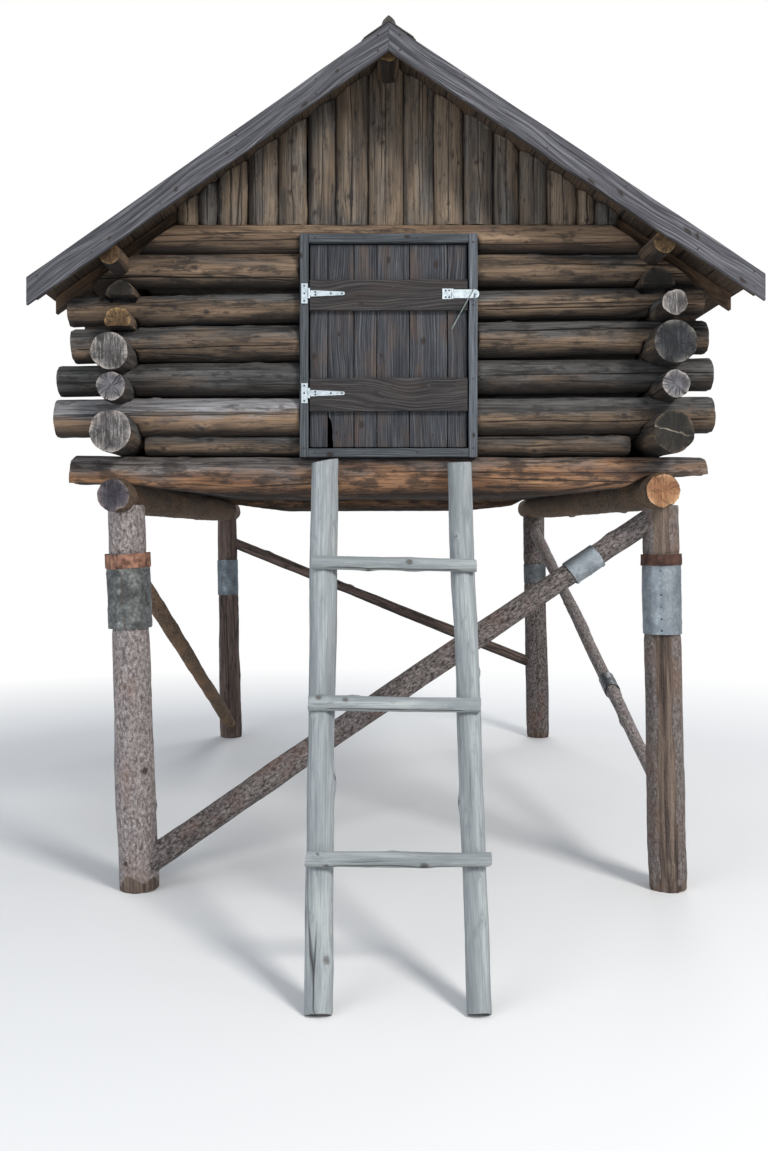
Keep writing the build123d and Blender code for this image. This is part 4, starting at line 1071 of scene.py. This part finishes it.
def plank(bundle, origin, across, along, deep, seed, step=0.03, columns=8, tone=1.0, knots=2,
          edge=0.0015, wear=0.0012, bevel=0.0015, seam=1.0, shape=None):
    """A sawn board from one corner and its three sides, slightly worn, cupped and knotted."""
    origin, across, along, deep = (np.array(side, float) for side in (origin, across, along, deep))
    width, length, thickness = (np.linalg.norm(side) for side in (across, along, deep))
    b, d = bevel / width, bevel / thickness
    row = np.linspace(b, 1 - b, columns)
    loop = [(a, 0.0) for a in row] + [(1.0, d), (1.0, 1 - d)]
    loop += [(a, 1.0) for a in row[::-1]] + [(0.0, 1 - d), (0.0, d)]
    loop = np.array(loop)
    tones = np.where(np.abs(loop[:, 0] - 0.5) > 0.4999, seam, 1.0) * tone
    inner = (loop - 0.5) * (1 - 2 * b, 1 - 2 * d) + 0.5
    rings = max(4, int(length / step) + 1)
    shares = np.concatenate([[0.0], np.linspace(bevel / length, 1 - bevel / length, rings), [1.0]])
    flat = np.stack([inner, *[loop] * rings, inner])
    a, t = flat[..., 0], flat[..., 1]
    s = np.broadcast_to(shares[:, None], a.shape)
    grain = spread(a * width, t * thickness, s * length)
    random = np.random.default_rng(int(seed * 1000) + 5)
    spot = np.zeros(a.shape)
    for _ in range(knots):
        x, z = random.uniform(0.1, 0.9) * width, random.uniform(0.05, 0.95) * length
        size = random.uniform(0.008, 0.015)
        gap = np.hypot(grain[..., 0] - x, (grain[..., 2] - z) * 0.7)
        spot = np.maximum(spot, np.exp(-((gap / size) ** 4)))
    slow = waver(grain * (3, 3, 2.5), seed)
    lines = waver(grain * (60, 20, 3), seed + 1)
    inside = np.abs(t - 0.5) * 2
    rise = (0.5 + 0.5 * lines) * wear * inside + 0.0008 * (1 + slow) * inside
    side = np.where(t < 0.5, 1.0, -1.0) * rise / thickness
    wave = 0.5 * edge * (1 + waver(spread(s * length * 6, a * 2, a * 0), seed + 2))
    a = a + (0.5 - a) * 2 * wave / width
    t = t + side
    points = origin + a[..., None] * across + s[..., None] * along + t[..., None] * deep
    if shape:
        points = shape(points, grain)
    around = len(loop)
    faces = tube_faces(len(shares), around)
    for high in (0, 1):
        base = (len(shares) - 1) * around * high
        top, last = base + 2 * columns, base + around
        quads = [(base + i, base + i + 1, top - i, top + 1 - i) for i in range(columns - 1)]
        far = base + columns
        quads += [(far - 1, far, far + 1, far + 2), (last - 1, base, top + 1, last - 2)]
        faces += quads if high else [quad[::-1] for quad in quads]
    if np.dot(np.cross(across, deep), along) < 0:
        faces = [face[::-1] for face in faces]
    bundle.take(
        points.reshape(-1, 3), faces, [0] * len(faces),
        grain=(grain + np.array((seed * 1.37, 0, seed * 3.1))).reshape(-1, 3),
        tone=np.tile(tones, len(shares)), knot=spot.reshape(-1),
    )


def fill(bundle, low, high, lying, seed, **how):
    """A board that fills a box, lying or standing."""
    size = high - low
    ends = (size[0], 0, 0), (0, 0, size[2])
    along, across = ends if lying else ends[::-1]
    plank(bundle, low, across, along, (0, size[1], 0), seed, **how)


def take_metal(bundle, points, faces, kind):
    """Takes a mesh without wood grain into a bundle."""
    bundle.take(points, faces, [kind] * len(faces), grain=points, tone=np.ones(len(points)),
                knot=np.zeros(len(points)))


def dome(bundle, centre, normal, radius, height, kind=0, around=10):
    """A nail or screw head, its radius and height in millimetres."""
    centre, normal = np.array(centre, float), np.array(normal, float)
    side, up = square_to(normal, (0.0, 0, 1) if abs(normal[2]) < 0.9 else (1.0, 0, 0))
    points = []
    for share, rise in ((1.0, -0.4), (1.0, 0.35), (0.75, 0.8), (0.4, 1.0)):
        for turn in np.linspace(0, TURN, around, endpoint=False):
            spot = up * math.sin(turn) - side * math.cos(turn)
            points.append(centre + spot * radius * MM * share + normal * height * MM * rise)
    points.append(centre + normal * height * MM)
    faces = [face[::-1] for face in tube_faces(4, around)]
    faces += [(3 * around + (i + 1) % around, 3 * around + i, 4 * around) for i in range(around)]
    take_metal(bundle, np.array(points), faces, kind)


def front_nail(bundle, x, face, z, radius, height):
    """A nail in a face that looks at the viewer."""
    dome(bundle, (x, face + 0.4 * MM, z), TOWARDS_VIEWER, radius, height, 1)


# Roof deck and rafters
DECK_BOARDS = 12
BOARD_EDGE = 35
for side, way in SIDES.items():
    low, high = box(f"roof_deck_{side}")
    reach = max(abs(low[0] - RIDGE_X), abs(high[0] - RIDGE_X))
    slope = SLOPES[side]
    step = np.array((way * reach, 0, -reach * math.tan(slope))) / DECK_BOARDS
    rise = DECK_THICKNESS / math.cos(slope)
    rows = Bundle()
    for count in range(DECK_BOARDS):
        origin = np.array((RIDGE_X, low[1], RIDGE_TOP)) + step * count
        plank(rows, origin, step, (0, high[1] - low[1], 0), (0, 0, -rise), 301.1 + count + way,
              step=0.12, columns=6, tone=0.7 + 0.45 * ((count * 7) % 5) / 5, knots=9, edge=0.0,
              bevel=0.006, seam=0.1)
    rows.build(f"{side}_deck", [DECK], f"roof_deck_{side}", sharp=BOARD_EDGE)
    rows = Bundle()
    for count, points in enumerate(solids(f"rafters_{side}", 1)):
        low, high = points.min(0), points.max(0)
        near, far = (low[0], high[0])[::way]
        top = roof_height(side, near, DECK_THICKNESS)
        run = np.array((far - near, 0, roof_height(side, far, DECK_THICKNESS) - top))
        plank(rows, (near, low[1], top), (0, high[1] - low[1], 0), run,
              (0, 0, -RAFTER_DEPTH / math.cos(slope)), 331.1 + count + way, step=0.07, columns=4,
              tone=0.85 + 0.25 * ((count * 3) % 4) / 4, edge=0.001)
    rows.build(f"{side}_rafters", [RAFTER], f"rafters_{side}", sharp=BOARD_EDGE)

# Barge boards, with two nails at each of six places
BARGE_NAILS = tuple(product((0.03, 0.2, 0.42, 0.63, 0.82, 0.97), (0.22, 0.75)))
NAIL_SUNK = 1.3 * MM
for wall, (side, way) in product(WALLS, SIDES.items()):
    node = f"barge_board_{wall}_{side}"
    points = solids(node)[0]
    low, high = points.min(0), points.max(0)
    near, far = (low[0], high[0])[::way]
    at_ridge, at_eave = (points[np.abs(points[:, 0] - end) < 2 * MM] for end in (near, far))
    top, eave = at_ridge[:, 2].max(), at_eave[:, 2].max()
    rise = top - at_ridge[:, 2].min()
    rows = Bundle()
    plank(rows, (near, low[1], top), (0, 0, -rise), (far - near, 0, eave - top),
          (0, high[1] - low[1], 0), 361.7 + way + (wall == BACK) * 3, step=0.02, columns=22,
          tone=0.95 + 0.05 * way, knots=5, edge=0.004, wear=0.002)
    face, out = (low[1], -1) if wall == FRONT else (high[1], 1)
    for share, down in BARGE_NAILS:
        spot = (near + (far - near) * share, face - out * NAIL_SUNK,
                top + (eave - top) * share - rise * down)
        dome(rows, spot, (0, out, 0), 4.5, 1.2, 1)
    rows.build(f"{wall}_{side}_barge", [BARGE, IRON], node, sharp=BOARD_EDGE)

# Crumpled felt cap over the ridge, a roll on the ridge itself and a sheet down each side
ROLL_HALF = 0.030
SHEET = 3.2 * MM
CAP_RINGS, CAP_COLUMNS = 120, 40
low, high = box("ridge_cap")
share = np.linspace(-1, 1, CAP_COLUMNS)
x = RIDGE_X + np.sign(share) * np.abs(share) ** 1.25 * (high[0] - low[0]) / 2
x, y = np.meshgrid(x, np.linspace(low[1], high[1], CAP_RINGS))
ground = np.where(x < RIDGE_X, roof_height("left", x), roof_height("right", x))
roll = np.clip(1 - ((x - RIDGE_X) / ROLL_HALF) ** 2, 0, 1)
sheet = SHEET + (high[2] - RIDGE_TOP - SHEET) * roll ** 0.5
grid = spread(x * 14, y * 5, 0.0)
crease = 1 - np.abs(waver(grid, 3.0)) * 2.2
fold = 1 - np.abs(waver(grid * (1.7, 2.6, 1), 8.0)) * 2.4
sheet = sheet * (0.86 + 0.14 * crease) - 0.004 * roll * np.clip(fold, 0, 1)
sheet = sheet + 0.0035 * np.clip(crease, 0, 1) * (1 - roll)
top = np.minimum(ground + np.maximum(sheet, 1.5 * MM), high[2])
hem = np.abs(share) > 0.9
hem_x = (0.006 * waver(spread(y * 5, 0.0, 0.0), 5.0) - 0.006) * hem
upper = spread(x + np.sign(x - RIDGE_X) * hem_x, y, top)
lower = spread(upper[..., 0], y, np.minimum(ground + FIT, top - MM))
loops = np.concatenate([upper, lower[:, ::-1]], 1)
around = 2 * CAP_COLUMNS
faces = tube_faces(CAP_RINGS, around)
for high in (0, 1):
    base = (CAP_RINGS - 1) * around * high
    last = base + around
    quads = [(base + i, base + i + 1, last - 2 - i, last - 1 - i) for i in range(CAP_COLUMNS - 1)]
    faces += [quad[::-1] for quad in quads] if high else quads
rows = Bundle()
points = loops.reshape(-1, 3)
rows.take(points, [face[::-1] for face in faces], [0] * len(faces), grain=points)
rows.build("felt_cap", [FELT], "ridge_cap", sharp=50)

# Door casing
for node, tone, wood in (
    ("casing_head", 0.9, CASING), ("casing_sill", 0.95, CASING),
    ("casing_jamb_left", 0.95, CASING), ("casing_jamb_right", 1.0, CASING_LIGHT),
):
    low, high = box(node)
    lying = high[0] - low[0] > high[2] - low[2]
    rows = Bundle()
    fill(rows, low, high, lying, 401.3 + tone * 9 + lying, step=0.012, columns=14, tone=tone,
         knots=1, edge=0.003, wear=0.002)
    for share in (0.04, 0.35, 0.68, 0.96):
        x, _, z = low + (high - low) * ((share, 0, 0.5) if lying else (0.5, 0, share))
        front_nail(rows, x, low[1], z, 4.0, 1.0)
    rows.build(f"{node}_board", [wood, IRON], node, sharp=BOARD_EDGE)

# Door boards with a broken bite at the foot of the second, and two rails
BITE_WIDTH = 0.026
BITE_HEIGHT = 0.142
BITTEN_BOARD = 1
BOARD_TONES = (1.0, 0.92, 1.04, 0.98, 1.06, 0.94)
BOARD_KNOTS = (1, 2, 1, 3, 2, 1)


def bitten(points, grain):
    depth = BITE_WIDTH * (1 - ease(grain[..., 2], BITE_HEIGHT - 0.03, BITE_HEIGHT))
    depth = depth * (0.75 + 0.25 * waver(grain * (0, 0, 40), 3.0))
    points[..., 0] = np.maximum(points[..., 0], low[0] + depth)
    return points


rows = Bundle()
boards = solids("door_boards", 0)
for count, points in enumerate(boards):
    low, high = points.min(0), points.max(0)
    fill(rows, low, high, False, 421.7 + count, step=0.011,
         columns=max(8, int((high[0] - low[0]) / 0.008)), tone=BOARD_TONES[count],
         knots=BOARD_KNOTS[count], edge=0.002, wear=0.002,
         shape=bitten if count == BITTEN_BOARD else None)
for height, points in product((0.06, 0.93), boards):
    z = points[:, 2].min() + height * np.ptp(points[:, 2])
    front_nail(rows, middle(points)[0] + 0.02, points[:, 1].min(), z, 3.2, 0.8)
rows.build("door_panel", [DOOR, IRON], "door_boards", "door", BOARD_EDGE)
for node in ("door_rail_top", "door_rail_bottom"):
    low, high = box(node)
    rows = Bundle()
    fill(rows, low, high, True, 441.9 + low[2], step=0.011, columns=18, knots=3, edge=0.004,
         wear=0.003)
    for points, share in product(boards, (0.25, 0.75)):
        z = low[2] + (high[2] - low[2]) * share
        front_nail(rows, middle(points)[0], low[1], z, 3.6, 1.0)
    rows.build(f"{node}_board", [RAIL, IRON], node, "door", BOARD_EDGE)

# Screws on the hinges and the hasp, at shares of each leaf's width and height
SCREWS = {
    "plate_screws": ("hinge_plates", "root", ((0.33, 0.12), (0.33, 0.5), (0.33, 0.88))),
    "strap_screws": (
        "hinge_straps", "door", ((0.2, 0.72), (0.2, 0.28), (0.62, 0.5), (0.92, 0.5))
    ),
    "hasp_screws": (
        "hasp_plate", "door", ((0.3, 0.18), (0.3, 0.82), (0.62, 0.18), (0.62, 0.82))
    ),
}
LEAF_THICKNESS = 2.5 * MM
LEAST_LEAF = 20 * MM
for name, (node, body, places) in SCREWS.items():
    rows = Bundle()
    for points, (across, up) in product(solids(node), places):
        low, high = points.min(0), points.max(0)
        if high[2] - low[2] >= LEAST_LEAF:
            spot = (low[0] + (high[0] - low[0]) * across, high[1] - LEAF_THICKNESS,
                    low[2] + (high[2] - low[2]) * up)
            dome(rows, spot, TOWARDS_VIEWER, 4.2, 1.4, 0, 14)
    rows.build(name, [SCREW], body=body)

# Sheets of metal round posts and braces
TIN = {
    "front_left": metal("tin_dark", "8c8e8c", "3f4040", "574c42", 0.42, 0.56, 1.2),
    "front_right": metal("tin_bright", "a6aeb3", "7b838a", "66645f", 0.42, 0.62, 1.2),
    "back_left": metal("tin_grey", "8b949b", "676e74", "5b5a55", 0.5, 0.6, 0.8),
    "back_right": metal("tin_shade", "6d7073", "4c4f51", "4f4b45", 0.5, 0.6, 0.8),
    "front": metal("tin_square", "b4bbc0", "838a90", "6b6557", 0.45, 0.62, 0.8),
    "right": metal("tin_side", "8f9294", "66696b", "5b5750", 0.45, 0.6, 0.8),
}
RUSTS = (rusty("copper_rust", "a27863", "5a3b2e"), rusty("dark_rust", "5c3d33", "2f1e1a"))
CREASED = {"front_left": 3.0, "front_right": 2.0}
LOOSE = {"front_left": 0.009, "front_right": 0.001, "front": 0.003, "right": 0.006}
# Rust bands at the tops of the front collars: heights
BANDS = {"front_left": 0.062, "front_right": 0.048}
SEAM_TURN = 4.2
RING_STEP = 0.009
COLLAR_COLUMNS = 60


def wrap(bundle, start, run, low, high, radius, seed, crumple, kind):
    """A crumpled sheet wrapped round a pole between two lengths along it, nailed at its seam."""
    side, up = square_to(run, (0.0, 1, 0) if abs(run[2]) > 0.7 else (0.0, 0, 1))
    turn = np.linspace(0, TURN, COLLAR_COLUMNS, endpoint=False)[None, :]
    along = np.linspace(low, high, max(6, int((high - low) / RING_STEP)))[:, None]
    spot = spread(np.cos(turn), np.sin(turn), along * 9)
    crease = 1 - np.abs(waver(spot * 1.6, seed)) * 2.4
    fine = 1 - np.abs(waver(spot * 3.4, seed + 1)) * 2.4
    lift = crumple * MM * (0.9 * crease + 0.5 * fine)
    seam = np.clip(1 - ((turn - SEAM_TURN) % TURN) / 0.5, 0, 1) ** 0.3 * 1.6 * MM
    along = along + 0.004 * waver(spread(turn * 0.9, along * 0, 0.0), seed + 2)
    shells = []
    for inset in (0.0, 1.4 * MM):
        reach = radius + lift + seam - inset
        across = (reach * np.cos(turn))[..., None] * side
        shells.append(start + along[..., None] * run + across
                      + (reach * np.sin(turn))[..., None] * up)
    loops = np.concatenate([shells[0], shells[1][::-1]], 0)
    faces = tube_faces(len(loops), COLLAR_COLUMNS)
    last = (len(loops) - 1) * COLLAR_COLUMNS
    steps = [(i, (i + 1) % COLLAR_COLUMNS) for i in range(COLLAR_COLUMNS)]
    faces += [(last + i, last + after, after, i) for i, after in steps]
    take_metal(bundle, loops.reshape(-1, 3), faces, kind)
    nail_turn = SEAM_TURN + 0.22
    out = side * math.cos(nail_turn) + up * math.sin(nail_turn)
    for share in np.linspace(0.05, 0.95, max(2, int((high - low) / 0.05))):
        place = low + (high - low) * share
        dome(bundle, start + run * place + out * (radius + 1.6 * MM), out, 5, 1.6)


rows = Bundle()
for count, points in enumerate(solids("tin_collars")):
    centre = points.mean(0)

    def off_axis(name):
        start, end = poles[name]
        run = unit(end - start)
        return np.linalg.norm((centre - start) - np.dot(centre - start, run) * run)

    name = min(poles, key=off_axis)
    start, end = poles[name]
    run = unit(end - start)
    along = (points - start) @ run
    reach = np.linalg.norm((points - start) - along[:, None] * run, axis=1).max()
    reach = reach + LOOSE.get(name, 0.0)
    low, high = along.min(), along.max()
    wrap(rows, start, run, low, high, reach, 501.3 + count, CREASED.get(name, 0.8),
         1 + list(TIN).index(name))
    if name in BANDS:
        wrap(rows, start, run, high - BANDS[name], high + 2 * MM, reach + 5 * MM, 511.3 + count,
             1.2, 1 + len(TIN) + list(BANDS).index(name))
rows.build("collars", [IRON, *TIN.values(), *RUSTS], "tin_collars", sharp=60)


# Ladder
def pole_ends(points):
    """Centres and radii at the level foot and the square top of a leaning pole."""
    foot_rim = points[points[:, 2] < points[:, 2].min() + MM]
    foot = middle(foot_rim)
    top = 2 * middle(points) - foot
    for _ in range(5):
        far = (points - foot) @ (top - foot) / np.linalg.norm(top - foot)
        rim = points[far > far.max() - 1.5 * MM]
        top = middle(rim)
    return foot, np.ptp(foot_rim[:, 0]) / 2, top, np.ptp(rim[:, 0]) / 2


# Stiles: seed, and the heights of the top's left and right edge, sawn nearly level
STILES = {"left": (541.3, 1.899, 1.922), "right": (543.9, 1.902, 1.906)}
for side, (seed, left_height, right_height) in STILES.items():
    node = f"ladder_stile_{side}"
    foot, r0, top, r1 = pole_ends(solids(node)[0])

    def sawn(points):
        run = unit(top - foot)
        across = np.clip((points[:, 0] - top[0]) / r1, -1, 1)
        limit = left_height + (right_height - left_height) * (1 + across) / 2
        over = np.maximum(points[:, 2] - limit, 0)
        return points - over[:, None] / run[2] * run

    log = Log(foot, top, (r0, r1), seed=seed, step=0.011, around=44, age=0.65, tone=0.95,
              knots=6, checks=((4.4, 0.05, 0.95, 0.004), (5.3, 0.2, 0.8, 0.003)), bend=0.002,
              rough=1.1)
    log_piece(f"{node}_pole", node, BLEACHED, "bleached_pole", log, sawn, on_ground)
for count, height in enumerate(("bottom", "middle", "top")):
    node = f"ladder_rung_{height}"
    log = level_log(node, 0, seed=551.3 + count, step=0.011, around=32, age=0.6, tone=0.95,
                    knots=4, checks=((3.9, 0.1, 0.9, 0.003),), bend=0.0)
    log_piece(f"{node}_pole", node, BLEACHED, "bleached_pole", log)

# Metal pieces kept from the frame
for node in ("hinge_plates", "hinge_straps", "hasp_plate", "hasp_leaf", "hasp_staple", "hasp_rod"):
    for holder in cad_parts[node].material_slots:
        holder.material = ROD if node == "hasp_rod" else HARDWARE

# Camera, its view moved by pixels of the photograph's height
PHOTO_HEIGHT = 1151
camera_data = bpy.data.cameras.new("camera")
camera_data.lens = 35.0
camera_data.shift_x = 24 / PHOTO_HEIGHT
camera_data.shift_y = -45.5 / PHOTO_HEIGHT
camera_data.clip_end = 200.0
camera = bpy.data.objects.new("camera", camera_data)
camera.location = (-0.15, WALL_Y[FRONT] - 5.03, 1.61)
camera.rotation_euler = (math.radians(90), 0, 0)
bpy.context.scene.collection.objects.link(camera)
bpy.context.scene.camera = camera

# Lights: place, target, size, power and tint
LIGHTS = {
    "key": ((5.5, -8.5, 7.5), (0, 0, 1.8), (2.5, 2.5), 900, (1.0, 0.97, 0.93)),
    "fill": ((-6.5, -8.0, 4.0), (0, 0, 1.8), (6, 6), 300, (0.92, 0.96, 1.0)),
    "rim": ((2.0, 9.0, 7.0), (0, 0, 2.5), (6, 4), 350, (1, 1, 1)),
}
for name, (place, target, size, power, tint) in LIGHTS.items():
    data = bpy.data.lights.new(name, "AREA")
    data.shape = "RECTANGLE"
    data.size, data.size_y = size
    data.energy = power
    data.color = tint
    light = bpy.data.objects.new(name, data)
    light.location = place
    way = mathutils.Vector(target) - mathutils.Vector(place)
    light.rotation_euler = way.to_track_quat("-Z", "Y").to_euler()
    bpy.context.scene.collection.objects.link(light)

# Soft light all round, and white where the camera sees past the floor
world = bpy.data.worlds.new("studio")
bpy.context.scene.world = world
world.use_nodes = True
sky = Nodes(world.node_tree)
through = sky.add("LightPath", {}, "Is Transmission Ray")
seen = sky.add("LightPath", {}, "Is Camera Ray").math("MAXIMUM", through)
soft = sky.add("Background", {"Color": (0.86, 0.92, 1.0, 1), "Strength": 0.55})
white = sky.add("Background", {"Color": (1, 1, 1, 1), "Strength": 1.0})
sky.node("OutputWorld", {"Surface": sky.add("MixShader", {0: seen, 1: soft, 2: white})})

# Floor, pale, and lost in white far from the object
FLOOR_HALF = 60.0
paper = Look("floor_paper")
paper.plug(paper.shader, {"Base Color": (0.86, 0.86, 0.86, 1), "Roughness": 0.95})
x, y, _ = paper.split(paper.add("TexCoord", {}, "Object"))
fade = (paper.away(x, y) * 0.05).ramp((0.17, 0.0), (0.34, 1.0))
fade = fade * paper.add("LightPath", {}, "Is Camera Ray")
lost = paper.add("MixShader", {0: fade, 1: paper.surface, 2: paper.add("Emission", {})})
paper.plug(paper.output, {"Surface": lost})
floor_mesh = bpy.data.meshes.new("floor")
corners = [(x * FLOOR_HALF, y * FLOOR_HALF, 0) for x, y in ((-1, -1), (1, -1), (1, 1), (-1, 1))]
floor_mesh.from_pydata(corners, [], [(0, 1, 2, 3)])
floor_mesh.materials.append(paper.material)
floor = bpy.data.objects.new("floor", floor_mesh)
bpy.context.scene.collection.objects.link(floor)

bpy.context.scene.view_settings.view_transform = "Standard"
